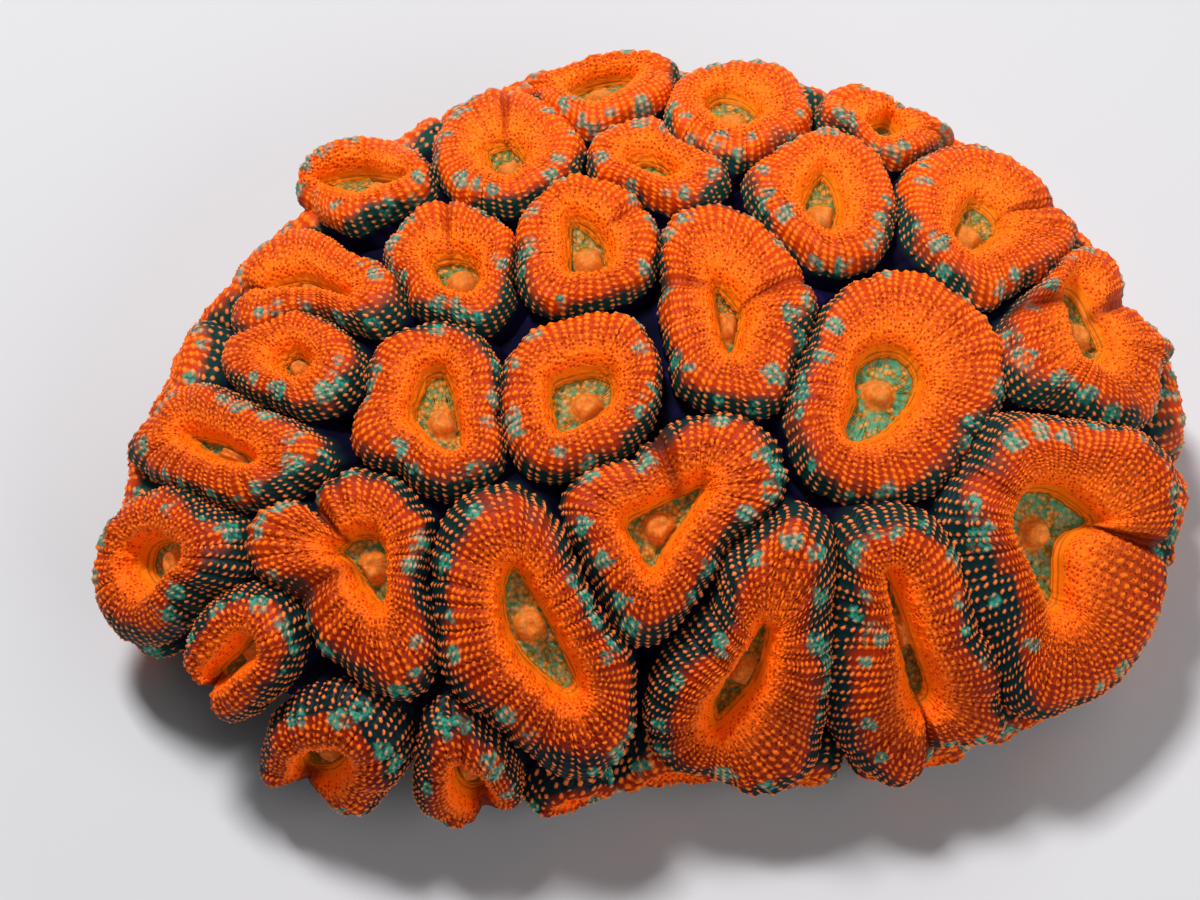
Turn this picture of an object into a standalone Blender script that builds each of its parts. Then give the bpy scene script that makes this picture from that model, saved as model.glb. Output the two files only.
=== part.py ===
"""A brain coral colony: fleshy lobed polyps, crowded on a low dome that is cut off flat below.

The colony is one grown piece. Each polyp is a swollen ring of flesh round a sunken disc, and
all of them are fused with the dome they grow on. Every outline is given as it is seen from
one viewpoint, in view points of a tenth of a millimetre at the viewing distance, and is laid
on the dome from there. Units are metres, +Z is up, and the flat cut lies at z = 0.
"""
import math

import bmesh
import bpy
import numpy as np

# The dome, measured to the middle height of the polyps that cover it
PLAN_RADII = (0.051, 0.044, 0.038, 0.036, 0.0375, 0.0405, 0.0485, 0.0565, 0.0495, 0.0385, 0.0435, 0.051)
RIM_HEIGHT = 0.008
DOME_RISE = 0.024
FOOT_DEPTH = 0.012
DOME_POWER = 2.5
CORE_LEVEL = 0.87
ROOT_LEVEL = 0.74

# The viewpoint from which the outlines are given
VIEW_ELEVATION = math.radians(60)
VIEW_DISTANCE = 0.340
VIEW_TARGET = np.array([-0.0058, -0.0075, 0.0134])
VIEW_CENTRE = np.array([600.0, 450.0])
POINTS_PER_METRE = 10000.0

# A polyp's ring of flesh, as heights over the dome and insets from its outline
WIDEST_HEIGHT = -0.0012
SHOULDER_HEIGHT = 0.0012
SHOULDER_INSET = 0.0009
CREST_HEIGHT = 0.0022
CREST_INSET = 0.0034
CREST_SHARE = 0.45
SLOPE_HEIGHT = 0.0004
SLOPE_SHARE = 0.58
DISC_RIM_HEIGHT = -0.0022
MOUTH_HEIGHT = -0.0034

# How a polyp leaves the dome's own curve to face outwards on its own
STEEPEST_POLYP = math.radians(50)
CURVE_LIMIT = 0.0032
LOWEST_FLESH = 0.0012
HIDDEN_DISC_SHARE = 0.3

POINT_SPACING = 0.0037
FEWEST_POINTS = 10
MOST_POINTS = 22
CORE_SEGMENTS = 40
CORE_RINGS = 20
SKIN_GRAIN = 0.0007
SKIN_TRIANGLES = 9400

# Seen polyps: the outline, then the edge of the sunken disc, going round in view points
SEEN_POLYPS = {
    "top_left": (
        [(298, 188), (310, 160), (336, 143), (367, 137), (405, 146), (430, 165), (428, 192),
         (400, 207), (375, 218), (352, 228), (325, 218), (303, 205)],
        [(322, 180), (365, 172), (408, 180), (368, 192)]),
    "upper_left": (
        [(431, 150), (445, 122), (470, 100), (500, 88), (532, 96), (562, 114), (583, 140),
         (574, 168), (548, 190), (512, 207), (470, 201), (440, 181)],
        [(488, 148), (510, 142), (524, 158), (514, 174), (496, 170)]),
    "top": (
        [(521, 80), (560, 72), (600, 58), (640, 52), (674, 61), (676, 80), (657, 102),
         (625, 118), (590, 132), (562, 116), (536, 98)],
        [(570, 92), (600, 80), (630, 78), (620, 92), (590, 102)]),
    "top_right": (
        [(663, 108), (675, 83), (705, 68), (735, 62), (765, 62), (790, 72), (806, 92),
         (813, 115), (800, 134), (770, 150), (738, 162), (700, 150), (672, 130)],
        [(708, 105), (720, 95), (742, 98), (757, 112), (745, 124), (722, 120)]),
    "top_middle": (
        [(587, 150), (600, 133), (630, 121), (657, 119), (673, 138), (695, 151), (722, 162),
         (731, 178), (712, 200), (680, 207), (655, 200), (620, 184), (595, 176)],
        [(630, 162), (652, 158), (672, 172), (655, 180)]),
    "right_of_top": (
        [(744, 178), (762, 157), (795, 137), (825, 129), (855, 138), (882, 158), (896, 190),
         (896, 220), (880, 255), (848, 268), (815, 262), (780, 235), (757, 212)],
        [(822, 172), (836, 190), (838, 212), (828, 230), (812, 218), (806, 198)]),
    "top_right_edge": (
        [(820, 112), (828, 92), (855, 85), (884, 97), (905, 111), (940, 122), (955, 138),
         (930, 150), (900, 161), (873, 152), (848, 131)],
        [(866, 128), (885, 120), (897, 132), (880, 141)]),
    "right_shoulder": (
        [(902, 185), (910, 163), (935, 150), (970, 145), (1005, 157), (1037, 180), (1060, 207),
         (1078, 232), (1058, 262), (1020, 285), (990, 303), (965, 290), (935, 262), (910, 235)],
        [(975, 200), (994, 212), (996, 230), (980, 243), (964, 250), (956, 236), (962, 214)]),
    "middle_left_of_summit": (
        [(383, 255), (395, 230), (420, 206), (445, 198), (478, 208), (508, 225), (516, 245),
         (511, 275), (512, 300), (492, 325), (465, 327), (440, 316), (412, 308), (403, 285)],
        [(432, 264), (448, 256), (468, 259), (478, 273), (470, 291), (452, 291)]),
    "summit_back": (
        [(516, 250), (516, 225), (530, 205), (555, 182), (582, 174), (603, 182), (632, 190),
         (652, 212), (659, 240), (652, 275), (630, 293), (595, 304), (560, 310), (533, 305),
         (518, 282)],
        [(571, 220), (586, 224), (603, 242), (606, 268), (588, 273), (571, 270), (570, 245)]),
    "long_summit": (
        [(661, 245), (664, 225), (685, 207), (715, 203), (745, 211), (770, 228), (790, 252),
         (810, 276), (818, 298), (811, 330), (797, 360), (788, 390), (770, 411), (735, 409),
         (700, 402), (677, 385), (670, 355), (661, 320), (660, 280)],
        [(717, 290), (736, 298), (743, 312), (736, 335), (729, 352), (720, 330)]),
    "left_wide": (
        [(229, 325), (232, 304), (242, 285), (248, 262), (268, 243), (300, 230), (330, 235),
         (358, 255), (382, 262), (400, 283), (398, 308), (378, 330), (352, 326), (325, 313),
         (290, 316), (262, 332), (238, 334)],
        [(265, 288), (305, 277), (347, 295), (310, 290)]),
    "left_round": (
        [(222, 365), (226, 345), (245, 333), (270, 324), (296, 312), (325, 318), (350, 336),
         (361, 360), (355, 385), (335, 405), (305, 413), (270, 402), (238, 388)],
        [(281, 362), (294, 350), (308, 362), (294, 376)]),
    "left_long": (
        [(129, 452), (140, 432), (158, 412), (175, 391), (200, 382), (228, 388), (262, 407),
         (300, 422), (323, 442), (326, 465), (305, 485), (270, 503), (235, 505), (200, 495),
         (165, 482), (140, 468)],
        [(190, 434), (222, 441), (252, 460), (228, 458), (204, 448)]),
    "left_bowl": (
        [(98, 558), (108, 530), (130, 505), (155, 488), (180, 487), (212, 507), (237, 525),
         (240, 560), (232, 582), (205, 600), (180, 625), (155, 643), (125, 638), (106, 615),
         (98, 590)],
        [(142, 556), (150, 543), (168, 540), (182, 553), (175, 572), (157, 586), (143, 574)]),
    "left_lobed": (
        [(246, 550), (250, 520), (270, 505), (295, 501), (314, 514), (311, 494), (335, 474),
         (360, 468), (392, 478), (420, 503), (432, 530), (424, 565), (424, 592), (434, 625),
         (434, 665), (415, 695), (383, 695), (345, 670), (315, 645), (303, 615), (282, 590),
         (255, 572)],
        [(338, 549), (355, 536), (375, 536), (385, 556), (386, 582), (380, 602), (366, 588),
         (351, 564)]),
    "front_long": (
        [(434, 560), (440, 530), (455, 508), (480, 491), (510, 486), (540, 502), (563, 530),
         (580, 568), (598, 605), (620, 638), (637, 667), (638, 702), (630, 745), (608, 770),
         (580, 780), (548, 768), (515, 743), (480, 712), (448, 686), (440, 640), (435, 600)],
        [(507, 582), (515, 570), (530, 588), (548, 618), (563, 650), (577, 682), (568, 694),
         (549, 681), (527, 660), (512, 636), (505, 608)]),
    "front_heart": (
        [(561, 508), (567, 487), (590, 468), (618, 459), (635, 460), (643, 442), (665, 425),
         (700, 414), (740, 415), (770, 432), (786, 468), (782, 500), (758, 526), (728, 544),
         (716, 572), (693, 604), (665, 637), (640, 646), (618, 630), (602, 598), (585, 565),
         (570, 535)],
        [(627, 522), (658, 504), (684, 491), (703, 486), (688, 514), (669, 541), (652, 567),
         (638, 548)]),
    "middle_square": (
        [(502, 370), (512, 350), (535, 326), (565, 318), (600, 311), (632, 315), (650, 335),
         (661, 365), (659, 400), (648, 428), (625, 450), (590, 468), (555, 477), (525, 470),
         (508, 445), (501, 410)],
        [(553, 383), (571, 374), (591, 370), (609, 375), (612, 395), (598, 412), (577, 424),
         (560, 429), (552, 408)]),
    "middle_left": (
        [(364, 372), (375, 350), (395, 332), (425, 323), (455, 322), (482, 336), (498, 360),
         (501, 395), (498, 418), (503, 442), (496, 472), (470, 490), (445, 497), (420, 488),
         (395, 467), (368, 460), (350, 440), (353, 418), (366, 395)],
        [(426, 375), (440, 370), (448, 380), (454, 404), (460, 434), (456, 448), (438, 442),
         (422, 428), (412, 411), (418, 392)]),
    "largest_round": (
        [(818, 322), (828, 300), (855, 280), (900, 268), (940, 281), (975, 305), (1000, 338),
         (1007, 380), (995, 418), (970, 453), (940, 486), (905, 499), (860, 500), (820, 488),
         (798, 460), (787, 420), (793, 380), (806, 348)],
        [(860, 362), (880, 350), (903, 352), (918, 372), (914, 394), (899, 415), (878, 433),
         (854, 438), (847, 424), (857, 398), (856, 378)]),
    "right_curled": (
        [(1003, 330), (1015, 305), (1045, 280), (1062, 258), (1085, 247), (1108, 258),
         (1121, 285), (1132, 312), (1155, 333), (1172, 352), (1160, 372), (1160, 400),
         (1145, 425), (1110, 420), (1065, 403), (1030, 398), (1008, 378)],
        [(1064, 286), (1080, 292), (1096, 322), (1106, 346), (1092, 362), (1077, 345),
         (1069, 312)]),
    "right_large": (
        [(983, 440), (1000, 417), (1035, 415), (1080, 421), (1125, 427), (1152, 440),
         (1170, 465), (1175, 500), (1170, 535), (1164, 565), (1160, 600), (1145, 640),
         (1115, 682), (1080, 703), (1035, 718), (1010, 700), (1000, 660), (980, 620),
         (962, 570), (948, 525), (955, 490), (973, 463)],
        [(1013, 522), (1022, 500), (1041, 490), (1066, 497), (1089, 517), (1076, 544),
         (1068, 572), (1061, 604), (1047, 606), (1033, 578), (1019, 550)]),
    "front_right": (
        [(836, 560), (845, 532), (860, 518), (885, 512), (908, 511), (935, 522), (953, 545),
         (966, 582), (978, 625), (1000, 665), (1000, 695), (1000, 735), (962, 744), (937, 748),
         (922, 772), (895, 786), (865, 772), (840, 745), (829, 700), (832, 640)],
        [(886, 570), (901, 604), (916, 648), (930, 692), (918, 704), (907, 668), (896, 624)]),
    "front_middle": (
        [(725, 560), (750, 540), (775, 522), (797, 511), (822, 520), (835, 548), (833, 600),
         (832, 655), (826, 712), (817, 757), (795, 783), (757, 794), (722, 780), (690, 772),
         (662, 765), (646, 735), (646, 700), (658, 670), (683, 637), (708, 612), (718, 588)],
        [(767, 626), (766, 650), (756, 682), (738, 706), (718, 724), (715, 706), (726, 684),
         (742, 660), (755, 640)]),
    "lower_left": (
        [(190, 650), (197, 620), (215, 600), (245, 587), (275, 591), (295, 612), (299, 645),
         (290, 678), (265, 702), (238, 722), (220, 712), (212, 690), (197, 665)],
        [(250, 636), (260, 650), (243, 664), (222, 680), (216, 672), (234, 654)]),
    "bottom_left": (
        [(259, 767), (264, 740), (272, 722), (292, 704), (325, 692), (360, 697), (390, 718),
         (408, 745), (405, 770), (390, 792), (368, 812), (345, 806), (325, 792), (285, 783)],
        [(302, 760), (318, 748), (338, 748), (345, 762), (328, 776), (306, 775)]),
    "bottom": (
        [(416, 800), (418, 765), (422, 730), (437, 711), (460, 712), (490, 734), (512, 762),
         (523, 788), (510, 812), (480, 812), (445, 817)],
        [(455, 762), (474, 768), (490, 788), (472, 797), (457, 784)]),
}

# Polyps that the viewpoint doesn't reach: plan angle, height over the cut, width and length
HIDDEN_POLYPS = {
    "back_right_end": (22, 0.0145, 0.015, 0.0095),
    "back_right": (46, 0.0160, 0.016, 0.0095),
    "back_right_of_middle": (70, 0.0170, 0.014, 0.0110),
    "back_middle": (93, 0.0165, 0.015, 0.0110),
    "back_left_of_middle": (117, 0.0180, 0.013, 0.0130),
    "back_left": (135, 0.0160, 0.012, 0.0130),
    "back_left_end": (152, 0.0140, 0.015, 0.0100),
    "left_upper_back": (167, 0.0155, 0.014, 0.0120),
    "left_upper": (181, 0.0160, 0.013, 0.0110),
    "low_right": (0, 0.0090, 0.014, 0.0125),
    "low_right_back": (16, 0.0060, 0.012, 0.0090),
    "low_back_1": (32, 0.0060, 0.013, 0.0090),
    "low_back_2": (50, 0.0065, 0.013, 0.0090),
    "low_back_3": (69, 0.0065, 0.013, 0.0095),
    "low_back_4": (89, 0.0065, 0.013, 0.0095),
    "low_back_5": (109, 0.0070, 0.013, 0.0100),
    "low_back_6": (128, 0.0065, 0.013, 0.0100),
    "low_back_7": (144, 0.0060, 0.012, 0.0090),
    "low_left_back": (159, 0.0060, 0.013, 0.0090),
    "low_left_1": (175, 0.0070, 0.013, 0.0100),
    "low_left_2": (191, 0.0095, 0.013, 0.0120),
    "low_left_3": (203, 0.0045, 0.010, 0.0065),
    "low_front_1": (258, 0.0065, 0.009, 0.0080),
    "low_front_2": (271, 0.0062, 0.012, 0.0080),
    "low_front_3": (287, 0.0060, 0.013, 0.0080),
    "low_front_4": (304, 0.0055, 0.013, 0.0080),
    "low_front_5": (319, 0.0055, 0.013, 0.0080),
    "low_front_6": (333, 0.0055, 0.012, 0.0085),
    "low_right_front": (346, 0.0070, 0.012, 0.0110),
}


def dome_radius(angle):
    """The plan radius at an angle, on a smooth closed curve through PLAN_RADII."""
    radii = np.array(PLAN_RADII)
    count = len(radii)
    place = (angle / (2 * math.pi) * count) % count
    index = np.floor(place).astype(int)
    part = place - index
    before, here, after, beyond = (radii[(index + step) % count] for step in (-1, 0, 1, 2))
    bend = part * (2 * before - 5 * here + 4 * after - beyond
                   + part * (3 * (here - after) + beyond - before))
    return here + 0.5 * part * (after - before + bend)


def dome_level(points):
    """How far out points lie: 1 on the dome's surface, less inside it."""
    across = np.hypot(points[..., 0], points[..., 1])
    angle = np.arctan2(points[..., 1], points[..., 0])
    over_rim = points[..., 2] - RIM_HEIGHT
    rise = np.where(over_rim > 0, DOME_RISE, FOOT_DEPTH)
    return ((across / dome_radius(angle)) ** DOME_POWER
            + (np.abs(over_rim) / rise) ** DOME_POWER) ** (1 / DOME_POWER)


def dome_point(points, level=1.0):
    """Points moved straight to or from the dome's centre, on to a level."""
    centre = np.array([0.0, 0.0, RIM_HEIGHT])
    arms = points - centre
    return centre + arms * (level / dome_level(points))[..., None]


def dome_normal(point, step=0.00005):
    slope = np.array([dome_level(point + step * side) - dome_level(point - step * side)
                      for side in np.eye(3)])
    return slope / np.linalg.norm(slope)


VIEW_BACK = np.array([0.0, -math.cos(VIEW_ELEVATION), math.sin(VIEW_ELEVATION)])
VIEW_UP = np.array([0.0, math.sin(VIEW_ELEVATION), math.cos(VIEW_ELEVATION)])
VIEW_RIGHT = np.array([1.0, 0.0, 0.0])
EYE = VIEW_TARGET + VIEW_BACK * VIEW_DISTANCE


def sight_lines(view_points):
    """Unit directions from the viewpoint through view points."""
    aside = (view_points - VIEW_CENTRE) / POINTS_PER_METRE / VIEW_DISTANCE
    lines = aside[:, :1] * VIEW_RIGHT - aside[:, 1:] * VIEW_UP - VIEW_BACK
    return lines / np.linalg.norm(lines, axis=1, keepdims=True)


def reach_of_dome(lines):
    """How far along each sight line the dome is met, or passed closest."""
    reach = np.linspace(VIEW_DISTANCE - 0.09, VIEW_DISTANCE + 0.09, 1201)
    levels = dome_level(EYE + lines[:, None, :] * reach[None, :, None])
    first_inside = np.argmax(levels <= 1.0, axis=1)
    closest = np.argmin(levels, axis=1)
    missed = levels.min(axis=1) > 1.0
    return reach[np.where(missed, closest, first_inside)]


def smooth_loop(points, count):
    """A closed curve through the points, as evenly spaced samples."""
    points = np.array(points, float)
    part = np.linspace(0, 1, 12, endpoint=False)[:, None]
    pieces = []
    for index in range(len(points)):
        before, here, after, beyond = (points[(index + step) % len(points)]
                                       for step in (-1, 0, 1, 2))
        bend = part * (2 * before - 5 * here + 4 * after - beyond
                       + part * (3 * (here - after) + beyond - before))
        pieces.append(here + 0.5 * part * (after - before + bend))
    curve = np.concatenate(pieces)
    steps = np.linalg.norm(np.roll(curve, -1, axis=0) - curve, axis=1)
    length = np.concatenate([[0], np.cumsum(steps)])
    closed = np.concatenate([curve, curve[:1]])
    wanted = np.linspace(0, length[-1], count, endpoint=False)
    return np.stack([np.interp(wanted, length, closed[:, side]) for side in (0, 1)], axis=1)


def turned_left(loop):
    """The loop in one sense of turning, so that two loops can be paired."""
    following = np.roll(loop, -1, axis=0)
    area = (loop[:, 0] * following[:, 1] - following[:, 0] * loop[:, 1]).sum()
    return loop if area > 0 else loop[::-1]


def paired_disc(outline, disc_points):
    """For each outline point its partner on the disc's edge, spread smoothly round it."""
    fine = 240
    disc = turned_left(smooth_loop(disc_points, fine))
    gaps = np.linalg.norm(outline[:, None, :] - disc[None, :, :], axis=2)
    nearest = np.argmin(gaps, axis=1) / fine
    even = np.arange(len(outline)) / len(outline)
    turn = np.exp(2j * math.pi * (nearest - even))
    shift = np.angle(turn.mean()) / (2 * math.pi)
    drift = (nearest - even - shift + 0.5) % 1.0 - 0.5
    for _ in range(max(2, len(outline) // 8)):
        drift = (np.roll(drift, 1) + 2 * drift + np.roll(drift, -1)) / 4
    place = ((even + shift + 0.85 * drift) % 1.0) * fine
    index = np.floor(place).astype(int)
    part = (place - index)[:, None]
    return disc[index % fine] * (1 - part) + disc[(index + 1) % fine] * part


def facing(view_centre):
    """Where a seen polyp sits on the dome, and the way that it faces."""
    line = sight_lines(view_centre[None, :])
    seat = (EYE + line * reach_of_dome(line)[:, None])[0]
    seat = dome_point(seat[None, :])[0]
    outward = dome_normal(seat)
    to_eye = -line[0]
    tilt = math.acos(np.clip(outward @ to_eye, -1, 1))
    if tilt > STEEPEST_POLYP:
        side = outward - (outward @ to_eye) * to_eye
        side /= np.linalg.norm(side)
        outward = math.cos(STEEPEST_POLYP) * to_eye + math.sin(STEEPEST_POLYP) * side
    return seat, outward


def laid_on(view_points, seat, outward):
    """View points laid on a polyp's own gently bent face."""
    lines = sight_lines(view_points)
    flat_reach = ((seat - EYE) @ outward) / (lines @ outward)
    bend = reach_of_dome(lines) - flat_reach
    reach = flat_reach + CURVE_LIMIT * np.tanh(bend / CURVE_LIMIT)
    return EYE + lines * reach[:, None]


def flesh_rings(edge, disc, mouth, outward):
    """The closed rings of a polyp's skin, from its root in the dome to its mouth."""
    width = np.linalg.norm(disc - edge, axis=1, keepdims=True)
    inward = (disc - edge) / np.maximum(width, 1e-6)
    crest_inset = np.minimum(CREST_INSET, CREST_SHARE * width)
    shoulder_inset = np.minimum(SHOULDER_INSET, 0.3 * crest_inset)
    slope_inset = crest_inset + SLOPE_SHARE * (width - crest_inset)
    widest = edge + outward * WIDEST_HEIGHT
    root = dome_point(widest, ROOT_LEVEL)
    return [root,
            widest,
            edge + inward * shoulder_inset + outward * SHOULDER_HEIGHT,
            edge + inward * crest_inset + outward * CREST_HEIGHT,
            edge + inward * slope_inset + outward * SLOPE_HEIGHT,
            disc + outward * DISC_RIM_HEIGHT,
            (mouth + outward * MOUTH_HEIGHT)[None, :]]


def lofted(rings):
    """A closed solid of skin stretched over the rings, with its last ring a point."""
    solid = bmesh.new()
    loops = []
    for ring in rings:
        lifted = ring.copy()
        lifted[:, 2] = np.maximum(lifted[:, 2], LOWEST_FLESH)
        loops.append([solid.verts.new(point) for point in lifted])
    count = len(loops[0])
    for lower, upper in zip(loops[:-2], loops[1:-1]):
        for here in range(count):
            after = (here + 1) % count
            solid.faces.new((lower[here], lower[after], upper[after], upper[here]))
    for here in range(count):
        solid.faces.new((loops[-2][here], loops[-2][(here + 1) % count], loops[-1][0]))
    solid.faces.new(loops[0][::-1])
    bmesh.ops.triangulate(solid, faces=solid.faces)
    bmesh.ops.recalc_face_normals(solid, faces=solid.faces)
    return solid


def seen_polyp(outline_points, disc_points):
    outline = turned_left(smooth_loop(outline_points, 200))
    around = np.linalg.norm(np.roll(outline, -1, axis=0) - outline, axis=1).sum()
    count = round(around / POINTS_PER_METRE / POINT_SPACING)
    count = min(MOST_POINTS, max(FEWEST_POINTS, count))
    outline = turned_left(smooth_loop(outline_points, count))
    disc = paired_disc(outline, disc_points)
    seat, outward = facing(outline.mean(axis=0))
    edge = laid_on(outline, seat, outward)
    disc_edge = laid_on(disc, seat, outward)
    return lofted(flesh_rings(edge, disc_edge, disc_edge.mean(axis=0), outward))


def hidden_face(angle, height, width, length, count, share=1.0):
    """The seat, the facing and an oval loop of a polyp placed by its plan angle and height."""
    bearing = np.array([math.cos(math.radians(angle)), math.sin(math.radians(angle)), 0.0])
    reach = dome_radius(np.array([math.radians(angle)]))[0]
    seat = bearing * reach + [0, 0, height]
    for _ in range(8):
        seat = dome_point(seat[None, :])[0]
        seat = bearing * np.hypot(seat[0], seat[1]) + [0, 0, height]
    outward = dome_normal(seat)
    level_way = np.cross([0, 0, 1.0], outward)
    level_way /= np.linalg.norm(level_way)
    upward = np.cross(outward, level_way)
    places = np.arange(count) / count * 2 * math.pi
    turn = math.radians(3 * angle)
    lobes = 1 + 0.07 * np.cos(3 * places + turn) + 0.04 * np.cos(5 * places + 2 * turn)
    across = np.cos(places) * width / 2 * lobes * share
    along = np.sin(places) * length / 2 * lobes * share
    flat = seat + across[:, None] * level_way + along[:, None] * upward
    return seat, outward, flat * 0.3 + dome_point(flat) * 0.7


def hidden_polyp(angle, height, width, length):
    """A polyp on the far side, an oval ring of flesh square to the dome."""
    around = math.pi * (width + length) / 2
    count = min(MOST_POINTS, max(FEWEST_POINTS, round(around / POINT_SPACING)))
    seat, outward, edge = hidden_face(angle, height, width, length, count)
    disc = hidden_face(angle, height, width, length, count, HIDDEN_DISC_SHARE)[2]
    return lofted(flesh_rings(edge, disc, disc.mean(axis=0), outward))


def dome_core():
    """The dome under the flesh: a round primitive pushed on to the dome."""
    core = bmesh.new()
    bmesh.ops.create_uvsphere(core, u_segments=CORE_SEGMENTS, v_segments=CORE_RINGS, radius=0.02)
    for vert in core.verts:
        place = np.array(vert.co) * [1, 1, 0.75] + [0, 0, RIM_HEIGHT]
        vert.co = dome_point(place[None, :], CORE_LEVEL)[0]
    return core


def as_object(name, solid, collection):
    mesh = bpy.data.meshes.new(name)
    solid.to_mesh(mesh)
    solid.free()
    thing = bpy.data.objects.new(name, mesh)
    collection.objects.link(thing)
    return thing


def joined(solids):
    """All the closed solids in one mesh, still overlapping."""
    together = bmesh.new()
    for solid in solids:
        passing = bpy.data.meshes.new("passing")
        solid.to_mesh(passing)
        solid.free()
        together.from_mesh(passing)
        bpy.data.meshes.remove(passing)
    return together


def flesh_material():
    material = bpy.data.materials.new("polyp_flesh")
    material.use_nodes = True
    surface = material.node_tree.nodes["Principled BSDF"]
    surface.inputs["Base Color"].default_value = (0.86, 0.21, 0.02, 1.0)
    surface.inputs["Roughness"].default_value = 0.45
    surface.inputs["Metallic"].default_value = 0.0
    return material


def one_skin(thing):
    """Grows one even skin over all the overlapping solids, then thins it to few triangles."""
    remesh = thing.modifiers.new("one_skin", "REMESH")
    remesh.mode = "VOXEL"
    remesh.voxel_size = SKIN_GRAIN
    remesh.adaptivity = 0.0
    evaluated = thing.evaluated_get(bpy.context.evaluated_depsgraph_get())
    skin = bpy.data.meshes.new_from_object(evaluated)
    thing.modifiers.clear()
    thing.data = skin
    thin = thing.modifiers.new("few_triangles", "DECIMATE")
    thin.ratio = SKIN_TRIANGLES / (2 * len(skin.polygons))
    evaluated = thing.evaluated_get(bpy.context.evaluated_depsgraph_get())
    thinned = bpy.data.meshes.new_from_object(evaluated)
    thing.modifiers.clear()
    thing.data = thinned


def cut_flat(mesh):
    """Cuts the colony off flat at z = 0 and keeps its one outer body."""
    skin = bmesh.new()
    skin.from_mesh(mesh)
    cut = bmesh.ops.bisect_plane(skin, geom=skin.verts[:] + skin.edges[:] + skin.faces[:],
                                 plane_co=(0, 0, 0), plane_no=(0, 0, -1), clear_outer=True)
    rim = [piece for piece in cut["geom_cut"] if isinstance(piece, bmesh.types.BMEdge)]
    bmesh.ops.contextual_create(skin, geom=rim)
    waiting = set(skin.faces)
    bodies = []
    while waiting:
        spreading = [waiting.pop()]
        body = set(spreading)
        while spreading:
            for edge in spreading.pop().edges:
                for other in edge.link_faces:
                    if other in waiting:
                        waiting.remove(other)
                        body.add(other)
                        spreading.append(other)
        bodies.append(body)
    bodies.sort(key=len)
    strays = [face for body in bodies[:-1] for face in body]
    bmesh.ops.delete(skin, geom=strays, context="FACES")
    bmesh.ops.triangulate(skin, faces=skin.faces)
    skin.to_mesh(mesh)
    skin.free()
    return len(strays)


def main():
    for old in list(bpy.data.objects):
        bpy.data.objects.remove(old)
    collection = bpy.data.collections.new("brain_coral")
    bpy.context.scene.collection.children.link(collection)

    solids = [dome_core()]
    for outline, disc in SEEN_POLYPS.values():
        solids.append(seen_polyp(outline, disc))
    for angle, height, width, length in HIDDEN_POLYPS.values():
        solids.append(hidden_polyp(angle, height, width, length))

    colony = as_object("coral_colony", joined(solids), collection)
    one_skin(colony)
    dropped = cut_flat(colony.data)
    colony.data.materials.append(flesh_material())
    colony.data.set_sharp_from_angle(angle=math.radians(50))
    print("coral_colony:", len(colony.data.polygons), "triangles,", dropped, "strays dropped")


main()
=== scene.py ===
# %% [markdown]
# A brain coral colony, seen from above and in front. Its fleshy polyps crowd together on a low
# dome of skeleton, each one a swollen ring of beaded flesh round a sunken disc with a mouth.
# The measured solid comes first, because every piece below has to sit on it.

# %% Load the measured solid
import math

import bpy
import numpy as np
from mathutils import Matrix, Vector


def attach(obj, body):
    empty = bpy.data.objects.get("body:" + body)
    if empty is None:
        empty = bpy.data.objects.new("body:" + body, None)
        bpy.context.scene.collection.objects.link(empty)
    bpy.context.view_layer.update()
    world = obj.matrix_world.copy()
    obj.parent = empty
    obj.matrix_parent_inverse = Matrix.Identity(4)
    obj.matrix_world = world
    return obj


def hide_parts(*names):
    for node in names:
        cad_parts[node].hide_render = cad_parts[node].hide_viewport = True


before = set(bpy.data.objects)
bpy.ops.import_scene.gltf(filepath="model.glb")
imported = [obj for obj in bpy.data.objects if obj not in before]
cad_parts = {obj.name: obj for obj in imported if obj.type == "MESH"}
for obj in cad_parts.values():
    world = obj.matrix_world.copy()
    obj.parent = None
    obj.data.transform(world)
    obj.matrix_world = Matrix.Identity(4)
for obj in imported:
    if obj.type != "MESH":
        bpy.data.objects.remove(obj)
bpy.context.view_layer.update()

bpy.ops.object.select_all(action="DESELECT")
print("nodes to dress:", sorted(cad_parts))

# %% [markdown]
# The dome has no straight line on it, so it is kept as a formula and not as a mesh. A power a
# little over two makes it flatter on top and fuller at the shoulder than a half ball. The plan
# radii are read every 30 degrees, and a smooth curve runs through them. With the formula, any
# point can be pushed on to the dome, and polyps, tissue and foot all agree where it is.

# %% The dome as a formula
PLAN_RADII = (0.051, 0.044, 0.038, 0.036, 0.0375, 0.0405,
              0.0485, 0.0565, 0.0495, 0.0385, 0.0435, 0.051)
RIM_HEIGHT = 0.008
DOME_RISE = 0.024
FOOT_DEPTH = 0.012
DOME_POWER = 2.5


def curve_weights(part):
    """Weights of the four neighbours on a smooth curve through points, at a part of a step."""
    return np.stack([
        0.5 * part * (-1 + part * (2 - part)),
        1 + 0.5 * part * part * (3 * part - 5),
        0.5 * part * (1 + part * (4 - 3 * part)),
        0.5 * part * part * (part - 1)], axis=-1)


def dome_radius(angle):
    """The dome's plan radius at an angle, read from the smooth curve."""
    radii = np.array(PLAN_RADII)
    place = (angle / (2 * math.pi) * len(radii)) % len(radii)
    index = np.floor(place).astype(int)
    weights = curve_weights(place - index)
    return sum(weights[..., step] * radii[(index + step - 1) % len(radii)] for step in range(4))


def dome_level(points):
    """One on the surface of the dome, less inside it and more outside."""
    across = np.hypot(points[..., 0], points[..., 1])
    angle = np.arctan2(points[..., 1], points[..., 0])
    over_rim = points[..., 2] - RIM_HEIGHT
    rise = np.where(over_rim > 0, DOME_RISE, FOOT_DEPTH)
    return ((across / dome_radius(angle)) ** DOME_POWER
            + (np.abs(over_rim) / rise) ** DOME_POWER) ** (1 / DOME_POWER)


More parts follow.
